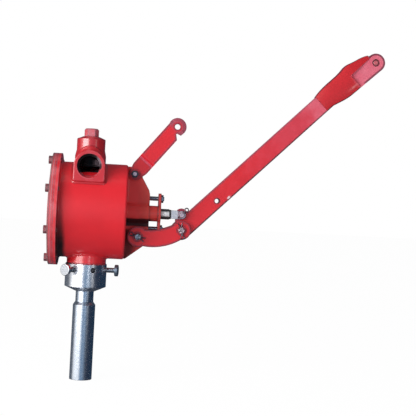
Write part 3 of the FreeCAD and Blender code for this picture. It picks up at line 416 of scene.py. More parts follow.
def lever_marks(f, colour, rough):
    """A painted pink sheen that grows towards the grip, painted shade on the lever's underside and in its
    hole, and a flake knocked off below.
    """
    along, sideways = along_arm(f, FULCRUM_X, FULCRUM_Z, LEVER_TURN)
    mottle = f.between(f.grain(55.0, 3.0), 0.30, 0.70)
    # Painted sheen: the bar turns pinker towards the grip
    sheen = f.between(along + 0.06 * (mottle - 0.5), 0.10, 0.36)
    sheen_most = f.between(along + 0.02 * (mottle - 0.5), 0.318, 0.362)
    colour = f.tint(sheen * 0.38, colour, PAINTED_SHEEN)
    colour = f.tint(sheen_most * 0.60, colour, PAINTED_SHEEN_MOST)
    # Painted shade on the lever's underside
    under = 1 - f.between(sideways + f.wobble(120.0, 0.0006), -0.0178, -0.0152)
    colour = f.tint(under * 0.80, colour, PAINTED_SHADE_RED)
    colour = f.tint(f.between(sideways, 0.0138, 0.0160) * 0.6, colour, MAUVE)
    # Painted shade in the lever's hole
    from_hole = f.distance(along - LEVER_HOLE_AT, sideways + LEVER_HOLE_BELOW)
    hole_shade = 1 - f.between(from_hole, LEVER_HOLE_R, LEVER_HOLE_R + 0.0012)
    colour = f.tint(hole_shade * 0.85, colour, PAINTED_SHADE_RED)
    from_flake = f.distance((along - FLAKE_AT) * 0.55, sideways + FLAKE_BELOW) + f.wobble(300.0, 0.0022)
    flake = 1 - f.between(from_flake, 0.0014, 0.0028)
    return f.tint(flake * 0.9, colour, FLAKED), rough + 0.15 * flake + 0.05 * mottle


def grip_marks(f, colour, rough):
    """The grip's flat tab is painted pale pink as sheen, with a dull outline round its tip and painted shade
    in its eye. The grip's rounded sides are painted darker than its broad faces, as shade."""
    along, sideways = along_arm(f, FULCRUM_X, FULCRUM_Z, LEVER_TURN)
    from_edge = sideways - (TAB_EDGE + 0.0002)
    colour = f.tint(0.30, colour, ENAMEL_DEEP)
    # Painted shade on the grip's rounded sides, away from the step
    near_step = f.between(along, 0.430, 0.436) * f.band(sideways, -0.0270, -0.0240, 0.0050, 0.0080)
    colour = f.tint(f.turned(0.04, 0.24) * (1 - near_step) * 0.80, colour, RIM_LINE)
    # Painted sheen on the flat tab
    below_edge = 1 - f.between(from_edge, -0.0004, 0.0004)
    tab = below_edge * f.between(along + f.wobble(70.0, 0.006), 0.4390, 0.4540)
    colour = f.tint(tab * 0.94, colour, f.tint(f.grain(90.0, 3.0), PAINTED_SHEEN_PALE, PAINTED_SHEEN))
    off = sideways - TAB_EYE_ACROSS
    past = f.maths("MAXIMUM", along - TAB_EYE_AT, 0.0)
    short = f.maths("MAXIMUM", TAB_EYE_AT - along, 0.0)
    outward = f.distance(past, off) + 0.037 * short
    outer = 1 - f.between(from_edge, -0.0070, -0.0050) * (1 - f.between(along, 0.494, 0.498))
    outline = f.between(outward, 0.0136, 0.0152) * outer * f.between(along, 0.452, 0.462)
    colour = f.tint(outline * 0.85, colour, TAB_OUTLINE)
    # Painted shade in the tab's eye
    eye = 1 - f.between(f.distance(along - TAB_EYE_AT, off), TAB_EYE_R, TAB_EYE_R + 0.0008)
    return f.tint(eye * 0.85, colour, PAINTED_SHADE_RED), rough - 0.05 * tab


def latch_marks(f, colour, rough):
    """Painted shade below the latch arm's bend, a painted highlight along the bend, plain lit red painted
    just past it, and a band of painted shade round the hook."""
    along, sideways = along_arm(f, LATCH_X, LATCH_Z, LATCH_TURN)
    # Painted shade below the bend
    heel_shade = 1 - f.between(along, 0.0290, 0.0300)
    # Plain lit red painted just past the bend, and a painted highlight along the bend
    beyond = f.band(along, 0.0330, 0.0340, 0.0385, 0.0395)
    bend = f.band(along, 0.0290, 0.0305, 0.0330, 0.0345)
    # Painted shade on a band round the hook
    ring_shade = f.band(f.distance(along - LATCH_REACH, sideways), 0.0090, 0.0100, 0.0190, 0.0200)
    ring_shade = ring_shade * f.between(along, LATCH_REACH - 0.012, LATCH_REACH - 0.004)
    colour = f.tint(heel_shade * 0.45, colour, ENAMEL_DEEP)
    colour = f.tint(beyond * 0.85, colour, ENAMEL)
    colour = f.tint(bend * 0.65, colour, PAINTED_SHEEN)
    return f.tint(ring_shade * 0.75, colour, HOOK_RING_SHADE), rough + 0.1 * ring_shade


def galvanised(name, cell, streaks, pale, dull, depth, rough=0.19):
    """Hot dipped zinc: crystal cells, streaks that run down, painted shade in the corners."""
    f = Finish(name)
    rounded = f.soft_edges(0.0009)
    crystal = f.add("ShaderNodeTexVoronoi", None, {"Vector": f.place, "Scale": cell}, out="Color")
    shade = f.add("ShaderNodeSeparateColor", None, {"Color": crystal}, out="Red")
    lengthwise = f.add("ShaderNodeMapping", None, {"Vector": f.place, "Scale": (1.0, 1.0, streaks)})
    runs = f.grain(60.0, 3.0, place=lengthwise)
    mottle = f.grain(70.0, 4.0, rough=0.62)
    colour = f.tint(f.between(0.20 * shade + 0.34 * runs + 0.40 * mottle, 0.22, 0.72), dull, pale)
    # Painted shade in the corners, also where neighbouring pieces stand close
    zinc_shade = f.between(f.hollows(0.006, alone=False), 0.3, 0.95)
    colour = f.tint(zinc_shade * 0.9, colour, ZINC_CORNER_SHADE)
    colour = f.tint(f.edge_mask(f.soft_edges(0.0018), 0.03, 0.12) * 0.6, colour, ZINC_STAIN)
    height = shade * 0.4 + f.grain(240.0) + runs
    return f.shade(base_color=colour, metallic=0.97, roughness=rough + 0.04 * shade + 0.10 * mottle,
                   normal=f.relief(height, depth, rounded))


def plated(name, colour, rough, scratch=0.00003, metallic=1.0, rim=0.0016, marks=()):
    """Small turned or pressed steel pieces: thin plating, dark lines along their edges, and painted shade in
    their corners.
    """
    f = Finish(name)
    rounded = f.soft_edges(0.0006)
    dull = f.grain(260.0, 3.0)
    tone = f.tint(f.between(dull, 0.40, 0.72), colour, ZINC_STAIN)
    tone = f.tint(0.65, tone, colour)
    uneven = rough + 0.18 * dull
    for mark in marks:
        tone, uneven = mark(f, tone, uneven)
    tone = f.tint(f.edge_mask(f.soft_edges(rim), 0.03, 0.12) * 0.9, tone, BLACK_OIL_AND_SHADE)
    # Painted shade in the corners
    corner_shade = f.between(f.hollows(0.003), 0.3, 0.95)
    tone = f.tint(corner_shade * 0.85, tone, BLACK_OIL_AND_SHADE)
    normal = f.relief(dull + f.grain(1400.0, 1.0), scratch, rounded)
    return f.shade(base_color=tone, metallic=metallic, roughness=uneven, normal=normal)


def rod_sides_painted_dark(f, colour, rough):
    """The rod's upper and lower sides are painted black, as the shade and dark reflection of a polished rod.
    """
    off_axis = f.maths("ABSOLUTE", f.axes("Z")[0] - AXIS_Z - 0.0005)
    # Painted shade: the rod's upper and lower sides turn black
    oil = f.between(off_axis + f.wobble(160.0, 0.0012), 0.0030, 0.0058)
    return f.tint(oil * 0.96, colour, BLACK_OIL_AND_SHADE), rough


def oil_patches(f, colour, rough):
    """Half of a pin's face is under black oil."""
    oil = f.between(f.grain(330.0), 0.44, 0.56)
    return f.tint(oil * 0.9, colour, BLACK_OIL_AND_SHADE), rough + 0.1 * oil


def fork_overspray(f, colour, rough):
    """Dull red overspray on the fork's nose, round its pin."""
    nose = f.between(f.axes("X")[0] + f.wobble(200.0, 0.003), 0.1665, 0.1700)
    return f.tint(nose * 0.8, colour, OVERSPRAY), rough + 0.15 * nose


def black_ring(name):
    f = Finish(name)
    grit = f.grain(900.0)
    colour = f.tint(grit, BLACK_OIL_AND_SHADE, RING_GREY)
    normal = f.relief(grit, 0.00004, f.soft_edges(0.0005))
    return f.shade(base_color=colour, roughness=0.45 + 0.2 * grit, normal=normal)


# What the red pieces of one make share: smooth or rough castings, rolled steel, small steel
CAST = {"sand": 520.0, "depth": 0.00012}
ROUGH_CAST = {"sand": 420.0, "depth": 0.00016, "gloss": 0.45, "coat": 0.2}
ROLLED = {"sand": 600.0, "depth": 0.00004, "wear": 0.45, "coat": 0.4}
SMALL = {"sand": 900.0, "depth": 0.00006, "wear": 0.95, "gloss": 0.28}

# A fillet or a thread has no edge of its own that is worn or lined, and no painted shade in its corners
NO_EDGE = {"wear": 0.0, "line": 0.0, "corner_shade": 0.0}
FILLET = {"sand": 520.0, "depth": 0.00010, "coat": 0.9, **NO_EDGE}

FINISHES = {
    "cover_red": red_enamel("red_enamel_on_cover", **CAST, marks=(cover_rim,), coat=0.9, line=0.5,
                            rim=0.0030),
    "body_red": red_enamel("red_enamel_on_barrel", **CAST, marks=(flange_shadow_and_grime, shaded_bare_bores), coat=0.3,
                           rim=0.0030),
    "flange_red": red_enamel("red_enamel_on_flange", **CAST, wear=0.8, marks=(flange_back_shade_and_chalk,), deep=0.15,
                             line=0.6, rim=0.0034),
    "chest_red": red_enamel("red_enamel_on_chest", **CAST, marks=(shaded_bare_bores,), deep=0.75, coat=0.9, line=0.5,
                            rim=0.0030),
    "port_red": red_enamel("red_enamel_on_port", **CAST, wear=0.45, marks=(shaded_bare_bores,), line=0.05, deep=0.60,
                           corner_shade=0.25, coat=0.7),
    "spigot_red": red_enamel("red_enamel_on_spigot", **CAST, marks=(tail_shade,), coat=0.9, rim=0.0030),
    "bracket_red": red_enamel("red_enamel_on_bracket", **ROUGH_CAST, wear=0.30, marks=(bracket_painted_light_and_shade,),
                              line=0.6, corner_shade=0.2, rim=0.0030),
    "gland_red": red_enamel("red_enamel_on_gland", sand=600.0, depth=0.00010, wear=0.70,
                            marks=(bracket_painted_light_and_shade,), rim=0.0028),
    "plug_red": red_enamel("red_enamel_on_plug", sand=700.0, depth=0.00008, wear=1.0, gloss=0.28,
                           marks=(rubbed_thin,), coat=0.9, rim=0.0034),
    "bolt_red": red_enamel("red_enamel_on_bolts", **SMALL, marks=(dull_bolts,), rim=0.0040),
    "rivet_red": red_enamel("red_enamel_on_rivet", **SMALL, marks=(rubbed_thin,), rim=0.0030),
    "link_red": red_enamel("red_enamel_on_links", **ROLLED, rim=0.0065, haze=0.5),
    "lever_red": red_enamel("red_enamel_on_lever", **ROLLED, marks=(lever_marks,), rim=0.0062),
    "latch_red": red_enamel("red_enamel_on_latch", **ROLLED, marks=(latch_marks,), rim=0.0075, haze=0.75),
    "grip_red": red_enamel("red_enamel_on_grip", sand=380.0, depth=0.00005, wear=0.0, marks=(grip_marks,),
                           rim=0.0050, line=0.0, corner_shade=0.10, gloss=0.45, coat=0.2),
    "fillet_red": red_enamel("red_enamel_in_corners", **FILLET),
    "fillet_body": red_enamel("red_enamel_beside_flange", **FILLET, marks=(flange_shadow_and_grime,)),
    "fillet_port": red_enamel("red_enamel_round_port", **FILLET, deep=0.6, marks=(shaded_bare_bores,)),
    "fillet_bracket": red_enamel("red_enamel_in_bracket", sand=420.0, depth=0.00010, **NO_EDGE, gloss=0.45,
                                 marks=(bracket_painted_light_and_shade,), coat=0.2),
    "thread_red": red_enamel("red_enamel_in_thread", sand=700.0, depth=0.00004, **NO_EDGE, gloss=0.62,
                             deep=0.3, marks=(shaded_bare_bores,), coat=0.0),
    "pipe_zinc": galvanised("galvanised_tube", cell=330.0, streaks=0.16, pale=(0.80, 0.85, 0.91, 1),
                            dull=(0.64, 0.71, 0.82, 1), depth=0.000006),
    "collar_zinc": galvanised("galvanised_casting", cell=380.0, streaks=0.7, pale=(0.90, 0.91, 0.94, 1),
                              dull=(0.76, 0.78, 0.85, 1), depth=0.000014),
    "screw_zinc": plated("plated_hand_screw", (0.66, 0.68, 0.72, 1), rough=0.20),
    "screw_dull": plated("dull_hand_screw", (0.20, 0.26, 0.33, 1), rough=0.34, metallic=0.8),
    "pin_steel": plated("plated_pin", (0.80, 0.62, 0.68, 1), rough=0.18, metallic=0.6),
    "rosy_steel": plated("oily_fulcrum_pin", (0.92, 0.70, 0.76, 1), rough=0.16, metallic=0.3,
                         marks=(oil_patches,)),
    "oily_steel": plated("oily_pin", (0.62, 0.68, 0.76, 1), rough=0.16, metallic=0.6, marks=(oil_patches,)),
    "dark_steel": plated("blackened_nut", (0.10, 0.075, 0.085, 1), rough=0.26, metallic=0.8),
    "nut_steel": plated("plated_nut", (0.42, 0.45, 0.50, 1), rough=0.24),
    # Painted reflection: the polished rod is near white, diffuse and barely metallic, in place of its bright
    # polish
    "rod_steel": plated("polished_rod", (0.95, 0.96, 0.98, 1), rough=0.10, scratch=0.00001, metallic=0.1,
                        rim=0.0008, marks=(rod_sides_painted_dark,)),
    "fork_steel": plated("machined_fork", (0.84, 0.84, 0.88, 1), rough=0.30, scratch=0.00001, metallic=0.6,
                         marks=(fork_overspray,)),
    "wire_steel": plated("split_pin_wire", (0.17, 0.12, 0.14, 1), rough=0.24, rim=0.0005),
    "ring_black": black_ring("black_lock_ring"),
}

NODE_FINISH = {
    "suction_pipe": "pipe_zinc",
    "pipe_collar": "collar_zinc",
    "hand_screw_front": "screw_zinc",
    "hand_screw_right": "screw_dull",
    "hand_screw_rear": "screw_zinc",
    "pump_barrel": "body_red",
    "body_flange": "flange_red",
    "inlet_spigot": "spigot_red",
    "diaphragm_rim": "flange_red",
    "diaphragm_cover": "cover_red",
    "cover_bolts": "bolt_red",
    "outlet_chest": "chest_red",
    "outlet_port": "port_red",
    "top_plug": "plug_red",
    "end_bracket": "bracket_red",
    "gland_follower": "gland_red",
    "gland_studs": "nut_steel",
    "gland_nuts": "nut_steel",
    "latch_washer": "latch_red",
    "latch_bolt": "pin_steel",
    "latch_nut": "dark_steel",
    "piston_rod": "rod_steel",
    "rod_lock_ring": "ring_black",
    "rod_fork": "fork_steel",
    "fork_pin": "pin_steel",
    "fork_pin_washer": "pin_steel",
    "swing_link_front": "link_red",
    "swing_link_rear": "link_red",
    "link_pin": "oily_steel",
    "link_pin_washer": "link_red",
    "fulcrum_pin": "rosy_steel",
    "fulcrum_pin_washer": "link_red",
    "lever_bar": "lever_red",
    "lever_grip": "grip_red",
    "grip_rivet": "rivet_red",
    "latch_arm": "latch_red",
}

for node, finish in NODE_FINISH.items():
    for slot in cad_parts[node].material_slots:
        slot.material = FINISHES[finish]


def middle(node):
    low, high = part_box(node)
    return (low + high) / 2


def settle(name, mesh, body, finish):
    """Makes a finished piece of a mesh: it rides on a body and takes its finish from a slot."""
    piece = bpy.data.objects.new(name, mesh)
    bpy.context.scene.collection.objects.link(piece)
    mesh.materials.clear()
    mesh.materials.append(FINISHES[finish])
    for polygon in mesh.polygons:
        polygon.use_smooth = True
    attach(piece, body)


def new_tree(name, sizes):
    """An empty tree of Geometry Nodes with named sizes as its inputs, and its maker."""
    tree = bpy.data.node_groups.new(name, "GeometryNodeTree")
    tree.interface.new_socket("Places", in_out="INPUT", socket_type="NodeSocketGeometry")
    for label, value in sizes.items():
        socket = tree.interface.new_socket(label, in_out="INPUT", socket_type="NodeSocketFloat")
        socket.default_value = value
    tree.interface.new_socket("Finish", in_out="INPUT", socket_type="NodeSocketMaterial")
    tree.interface.new_socket("Pieces", in_out="OUTPUT", socket_type="NodeSocketGeometry")
    maker = Maker(tree)
    return maker, maker.add("NodeGroupInput", out="Places")


def spread(maker, start, piece):
    """One piece at each place, turned by the place's own angles, as plain faces."""
    turn = maker.add("GeometryNodeInputNamedAttribute", {"data_type": "FLOAT_VECTOR"}, {"Name": "turn"})
    rotation = maker.add("FunctionNodeEulerToRotation", None, {"Euler": turn})
    placed = maker.add("GeometryNodeInstanceOnPoints", None,
                       {"Points": start, "Instance": piece, "Rotation": rotation})
    real = maker.add("GeometryNodeRealizeInstances", None, {"Geometry": placed})
    named = maker.add("GeometryNodeSetMaterial", None,
                      {"Geometry": real, "Material": maker.also(start, "Finish")})
    maker.add("NodeGroupOutput", None, {"Pieces": named})
    return maker.tree


def grow(name, tree, places, sizes, body, finish):
    """Runs a tree over places, given as (point, angles), and keeps its faces as one piece."""
    seed = bpy.data.meshes.new(name + "_places")
    seed.from_pydata([point for point, turn in places], [], [])
    turns = seed.attributes.new("turn", "FLOAT_VECTOR", "POINT")
    for entry, (point, turn) in zip(turns.data, places):
        entry.vector = turn
    holder = bpy.data.objects.new(name + "_holder", seed)
    bpy.context.scene.collection.objects.link(holder)
    modifier = holder.modifiers.new("grow", "NODES")
    modifier.node_group = tree
    given = dict(sizes, Finish=FINISHES[finish])
    for item in tree.interface.items_tree:
        if item.in_out == "INPUT" and item.name in given:
            modifier[item.identifier] = given[item.name]
    depsgraph = bpy.context.evaluated_depsgraph_get()
    mesh = bpy.data.meshes.new_from_object(holder.evaluated_get(depsgraph), depsgraph=depsgraph)
    holder.modifiers.remove(modifier)
    bpy.data.objects.remove(holder)
    settle(name, mesh, body, finish)


def split_pin_tree():
    """A split pin: a round eye, and two legs that part at their ends. Its eye is up +Z."""
    maker, start = new_tree("split_pin", {
        "Eye Distance": 0.013, "Eye Radius": 0.0034, "Wire Radius": 0.0011,
        "Leg Reach": 0.013, "Leg Spread": 0.0045,
    })
    eye_at = maker.also(start, "Eye Distance")
    eye_r = maker.also(start, "Eye Radius")
    wire_r = maker.also(start, "Wire Radius")
    reach = maker.also(start, "Leg Reach")
    leg_spread = maker.also(start, "Leg Spread")
    gap = wire_r * 0.92
    opening = maker.maths("ARCSINE", gap / eye_r)
    arc = maker.add("GeometryNodeCurveArc", {"mode": "RADIUS"}, {
        "Resolution": 28, "Radius": eye_r, "Start Angle": opening - QUARTER,
        "Sweep Angle": 2 * math.pi - 2 * opening,
    })
    up = maker.add("ShaderNodeCombineXYZ", None, {"Z": eye_at})
    eye = maker.add("GeometryNodeTransform", None,
                    {"Geometry": arc, "Rotation": (QUARTER, 0.0, 0.0), "Translation": up})
    drop = maker.maths("SQRT", eye_r * eye_r - gap * gap)
    parts = [eye]
    for side in (-1, 1):
        top = maker.add("ShaderNodeCombineXYZ", None, {"X": gap * side, "Z": eye_at - drop})
        bend = maker.add("ShaderNodeCombineXYZ", None, {"X": gap * side, "Z": reach * -0.35})
        knee = maker.add("ShaderNodeCombineXYZ", None, {"X": gap * side, "Z": reach * -0.72})
        end = maker.add("ShaderNodeCombineXYZ", None, {"X": leg_spread * side, "Z": reach * -1.0})
        parts.append(maker.add("GeometryNodeCurvePrimitiveBezierSegment", {"mode": "POSITION"}, {
            "Resolution": 18, "Start": top, "Start Handle": bend, "End Handle": knee, "End": end,
        }))
    wires = maker.add("GeometryNodeJoinGeometry")
    for part in parts:
        maker.tree.links.new(part.socket, wires.socket.node.inputs[0])
    section = maker.add("GeometryNodeCurvePrimitiveCircle", {"mode": "RADIUS"},
                        {"Resolution": 12, "Radius": wire_r})
    pin = maker.add("GeometryNodeCurveToMesh", None,
                    {"Curve": wires, "Profile Curve": section, "Fill Caps": True})
    return spread(maker, start, pin)


def thread_tree():
    """A screw thread: a ridge that winds up a shank along +Z from its foot."""
    maker, start = new_tree("screw_thread", {
        "Length": 0.02, "Pitch": 0.00125, "Radius": 0.004, "Depth": 0.0006,
    })
    length = maker.also(start, "Length")
    windings = length / maker.also(start, "Pitch")
    radius = maker.also(start, "Radius")
    spiral = maker.add("GeometryNodeCurveSpiral", None, {
        "Resolution": 30, "Rotations": windings, "Height": length,
        "Start Radius": radius, "End Radius": radius,
    })
    upright = maker.add("GeometryNodeSetCurveNormal", {"mode": "Z_UP"}, {"Curve": spiral})
    ridge = maker.add("GeometryNodeCurvePrimitiveCircle", {"mode": "RADIUS"},
                      {"Resolution": 4, "Radius": maker.also(start, "Depth")})
    thread = maker.add("GeometryNodeCurveToMesh", None,
                       {"Curve": upright, "Profile Curve": ridge, "Fill Caps": True})
    return spread(maker, start, thread)


SPLIT_PIN = split_pin_tree()
THREAD = thread_tree()


def in_plane(degrees):
    """Angles that turn a piece's +Z to a direction of the XZ plane, counted up from +X."""
    return (0.0, math.radians(90 - degrees), 0.0)


def add_split_pins():
    """Each holds a washer on its pin, with its eye turned some way round."""
    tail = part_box("link_pin")[0].y + LINK_PIN_HOLE_AT
    places = []
    for washer, eye_way in (("link_pin_washer", 158.0), ("fulcrum_pin_washer", -78.0)):
        hub = middle(washer)
        places.append(((hub.x, tail, hub.z), in_plane(eye_way)))
    grow("split_pins_of_links", SPLIT_PIN, places,
         {"Eye Distance": 0.0135, "Leg Reach": 0.0140, "Leg Spread": 0.0045},
         "swing_link", "wire_steel")
    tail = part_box("fork_pin")[0].y + FORK_PIN_HOLE_AT
    hub = middle("fork_pin_washer")
    grow("split_pin_of_fork", SPLIT_PIN, [((hub.x, tail, hub.z), in_plane(50.0))],
         {"Eye Distance": 0.0132, "Leg Reach": 0.0085, "Leg Spread": 0.0028},
         "rod", "wire_steel")


def add_threads():
    """Threads on the gland's studs and the hand screws, and inside the outlet port."""
    box_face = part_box("end_bracket")[1].x
    plate_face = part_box("gland_follower")[1].x - GLAND_PLATE_THICKNESS
    axis_z = middle("piston_rod").z
    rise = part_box("gland_studs")[1].z - STUD_R - axis_z
    studs = [((box_face, 0.0, axis_z + side * rise), (0.0, QUARTER, 0.0)) for side in (-1, 1)]
    grow("threads_of_gland_studs", THREAD, studs,
         {"Length": plate_face - box_face, "Radius": STUD_R - THREAD_SUNK, "Depth": 0.00055},
         "pump", "nut_steel")
    collar_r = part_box("pipe_collar")[1].x
    screw_z = middle("hand_screw_right").z
    screws = []
    for degrees in (-128.0, -8.0, 112.0):
        turn = math.radians(degrees)
        foot = (collar_r * math.cos(turn), collar_r * math.sin(turn), screw_z)
        screws.append((foot, (0.0, QUARTER, turn)))
    grow("threads_of_hand_screws", THREAD, screws,
         {"Length": 0.0158, "Pitch": 0.0015, "Radius": 0.00445, "Depth": 0.00055},
         "pump", "screw_zinc")
    foot = (middle("outlet_port").x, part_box("outlet_port")[0].y + PORT_THREAD_AT, PORT_Z)
    grow("thread_of_outlet_port", THREAD, [(foot, (-QUARTER, 0.0, 0.0))],
         {"Length": 0.0132, "Pitch": 0.00231, "Radius": 0.02235, "Depth": 0.0010},
         "pump", "thread_red")


def fillet(name, steps, closed, finish="fillet_red", body="pump"):
    """A cast fillet along a corner. Each step gives the corner, two directions on the faces that
    meet there, and the size. Its back and its two thin edges are sunk into the castings."""
    back, edge_sunk, edge_thick, bends = 0.0006, 0.00012, 0.0004, 6
    rows = []
    mesh = bmesh.new()
    for corner, first, second, size in steps:
        a = corner + first * size - second * edge_sunk
        b = corner + second * size - first * edge_sunk
        row = [mesh.verts.new(corner - (first + second) * back), mesh.verts.new(a - second * edge_thick)]
        for k in range(bends + 1):
            t = k / bends
            row.append(mesh.verts.new(a * (1 - t) ** 2 + corner * (2 * t * (1 - t)) + b * t ** 2))
        row.append(mesh.verts.new(b - first * edge_thick))
        rows.append(row)
    count = len(rows[0])
    pairs = zip(rows, rows[1:] + rows[:1]) if closed else zip(rows, rows[1:])
    for row, following in pairs:
        for k in range(count):
            n = (k + 1) % count
            mesh.faces.new((row[k], row[n], following[n], following[k]))
    if not closed:
        mesh.faces.new(rows[0])
        mesh.faces.new(list(reversed(rows[-1])))
    bmesh.ops.recalc_face_normals(mesh, faces=mesh.faces)
    faces = bpy.data.meshes.new(name)
    mesh.to_mesh(faces)
    mesh.free()
    settle(name, faces, body, finish)


def across(vector, normal):
    """The part of a vector that lies in the face with this normal, at length one."""
    return (vector - normal * vector.dot(normal)).normalized()


def corner_step(point, first_normal, second_normal, size):
    """Step of a fillet where two faces meet, from the way that each of them faces."""
    return (point, across(second_normal, first_normal), across(first_normal, second_normal), size)


def barrel_normal(y, z):
    return Vector((0, y, z - AXIS_Z)).normalized()


def angles(first, last, count):
    """Evenly spaced angles from first to last, which are in degrees."""
    return [math.radians(first + (last - first) * k / (count - 1)) for k in range(count)]


def full_ring(count):
    return angles(0, 360, count + 1)[:-1]


def column_steps(x, y, radius, round_it, side, size):
    """Where an upright round column meets the barrel: side is 1 above its axis, -1 below it."""
    steps = []
    for turn in round_it:
        way = Vector((math.cos(turn), math.sin(turn), 0))
        at_x, at_y = x + radius * math.cos(turn), y + radius * math.sin(turn)
        at_z = AXIS_Z + side * math.sqrt(BARREL_R ** 2 - at_y ** 2)
        steps.append(corner_step(Vector((at_x, at_y, at_z)), barrel_normal(at_y, at_z), way, size))
    return steps


def wall_steps(x, radius, size):
    """Where a round casting on the pump's axis stands on a flat wall that faces +X."""
    ahead = Vector((1, 0, 0))
    ways = [Vector((0, math.sin(turn), math.cos(turn))) for turn in full_ring(96)]
    return [(Vector((x, 0, AXIS_Z)) + out * radius, out, ahead, size) for out in ways]


def port_foot():
    """Places round the foot of the port's boss, with the way that its side faces at each."""
    foot = PORT_Z - CHEST_R
    bend = PORT_FOOT_ROUND
    sides = []
    for side in (1, -1):
        half = [(CHEST_X + side * CHEST_R, PORT_Z - 0.002 * k, Vector((side, 0, 0))) for k in range(-1, 12)]
        for turn in angles(0, 90, 9)[1:-1]:
            way = Vector((side * math.cos(turn), 0, -math.sin(turn)))
            half.append((CHEST_X + side * (CHEST_R - bend) + bend * way.x, foot + bend + bend * way.z, way))
        sides.append(half)
    bottom = [(CHEST_X + (CHEST_R - bend) * (1 - k / 6), foot, Vector((0, 0, -1))) for k in range(13)]
    return sides[0] + bottom + list(reversed(sides[1]))


def port_steps():
    """Where the port's boss stands out of the barrel."""
    steps = []
    for x, z, side in port_foot():
        y = -math.sqrt(BARREL_R ** 2 - (z - AXIS_Z) ** 2)
        steps.append(corner_step(Vector((x, y, z)), barrel_normal(y, z), side, 0.0060))
    return steps


def brow_steps():
    """Where the port's boss meets the chest's column above it. The fillet is thin at both ends."""
    steps = []
    for lean in angles(12, 168, 33):
        aside, z = CHEST_R * math.cos(lean), PORT_Z + CHEST_R * math.sin(lean)
        flare = max(0.0, min(1.0, (z - CHEST_FLARE_FOOT) / (CHEST_FLARE_TOP - CHEST_FLARE_FOOT)))
        radius = CHEST_R - flare * (CHEST_R - CHEST_NECK_R)
        y = CHEST_Y - math.sqrt(max(radius ** 2 - aside ** 2, 1e-8))
        column = Vector((aside, y - CHEST_Y, 0)).normalized()
        boss = Vector((math.cos(lean), 0, math.sin(lean)))
        size = 0.0008 + 0.0092 * math.sin(lean) ** 2
        steps.append(corner_step(Vector((CHEST_X + aside, y, z)), column, boss, size))
    return steps


def add_web_fillets():
    """On both faces of the end bracket's web: up the end wall, and along the stuffing box."""
    ahead = Vector((1, 0, 0))
    half_height = BARREL_R - 0.006
    length = BOX_FACE - BOX_EDGE - BARREL_RIGHT
    rise = math.sqrt(BOX_R ** 2 - WEB_HALF ** 2)
    for side, label in ((-1, "front"), (1, "rear")):
        out = Vector((0, side, 0))
        heights = [AXIS_Z + half_height * (2 * k / 11 - 1) for k in range(12)]
        wall = [(Vector((BARREL_RIGHT, side * WEB_HALF, z)), out, ahead, 0.0042) for z in heights]
        fillet("fillet_of_web_" + label, wall, False, "fillet_bracket")
        for up, edge in ((-1, "lower"), (1, "upper")):
            ridge = Vector((0, side * WEB_HALF, up * rise)).normalized()
            line = []
            for k in range(9):
                corner = Vector((BARREL_RIGHT + length * k / 8, side * WEB_HALF, AXIS_Z + up * rise))
                line.append(corner_step(corner, out, ridge, 0.0040))
            fillet("fillet_of_box_" + label + "_" + edge, line, False, "fillet_bracket")


def add_fillets():
    """The cast fillets in the corners of the body and the bracket."""
    chest = column_steps(CHEST_X, CHEST_Y, CHEST_R, angles(-8, 188, 41), side=1, size=0.0045)
    spigot = column_steps(0.0, 0.0, SPIGOT_R, full_ring(64), side=-1, size=0.0040)
    fillet("fillet_of_chest", chest, False, "fillet_port")
    fillet("fillet_of_port", port_steps(), False, "fillet_port")
    fillet("fillet_above_port", brow_steps(), False, "fillet_port")
    fillet("fillet_of_spigot", spigot, True)
    fillet("fillet_of_flange", wall_steps(BARREL_LEFT, BARREL_R, size=0.0034), True, "fillet_body")
    fillet("fillet_of_stuffing_box", wall_steps(BARREL_RIGHT, BOX_R, size=0.0040), True, "fillet_bracket")
    add_web_fillets()


def add_tab_fillets():
    """The step from the grip down to its flat tab, rounded on both sides: along the tab's upper
    edge, round the corner, and down the ramp."""
    along = Vector((math.cos(LEVER_TURN), 0, math.sin(LEVER_TURN)))
    sideways = Vector((-math.sin(LEVER_TURN), 0, math.cos(LEVER_TURN)))
    hub = Vector((FULCRUM_X, 0, FULCRUM_Z))
    for side, label in ((-1, "front"), (1, "rear")):
        out = Vector((0, side, 0))
        corner = hub + out * TAB_FACE + along * TAB_START + sideways * TAB_EDGE
        steps = []
        for k in range(10):
            beyond = 0.0485 - 0.0435 * k / 9
            steps.append((corner + along * beyond, out, -sideways, 0.0012 + 0.0038 * k / 9))
        steps.append((corner, out, (along - sideways).normalized(), 0.0068))
        ramp = (out * 0.96 - along * 0.28).normalized()
        for k in range(8):
            below = 0.0045 + 0.0215 * k / 7
            steps.append((corner - sideways * below, ramp, along, 0.0050 - 0.0025 * k / 7))
        fillet("fillet_of_tab_" + label, steps, False, "grip_red", "lever")


add_split_pins()
add_threads()
add_fillets()
add_tab_fillets()

# The studio: its colours, its floor and what the lamps aim at
WHITE = (1, 1, 1, 1)
FLOOR_GREY = (0.62, 0.62, 0.62, 1)
ROOM_LEFT = (1.0, 1.0, 1.0, 1)
ROOM_MIDDLE = (0.16, 0.27, 0.41, 1)
ROOM_RIGHT = (0.001, 0.016, 0.045, 1)
ROOM_BACK = (0.004, 0.025, 0.055, 1)
ROOM_ABOVE = (0.05, 0.055, 0.07, 1)
FLOOR_REACH = 14.0
FLOOR_Z = -0.0005
PUMP_MIDDLE = (0.05, 0.0, 0.33)
COLLAR_MIDDLE = (0.0, 0.0, 0.22)

# The eye: where it is, which way it looks, how far it is rolled over
EYE = (0.0497, -1.8372, 0.3362)
EYE_AHEAD = (0.0958, 0.9954, 0.0)
EYE_ROLL = math.radians(3.0)
LENS_MM = 83.08
SENSOR_MM = 36.0


def is_seen(maker):
    """A wire of the node that knows a ray's kind, and 1 for the rays that nothing mirrored."""
    path = maker.add("ShaderNodeLightPath", out="Is Camera Ray")
    return path, maker.maths("MAXIMUM", path, maker.also(path, "Is Transmission Ray"))


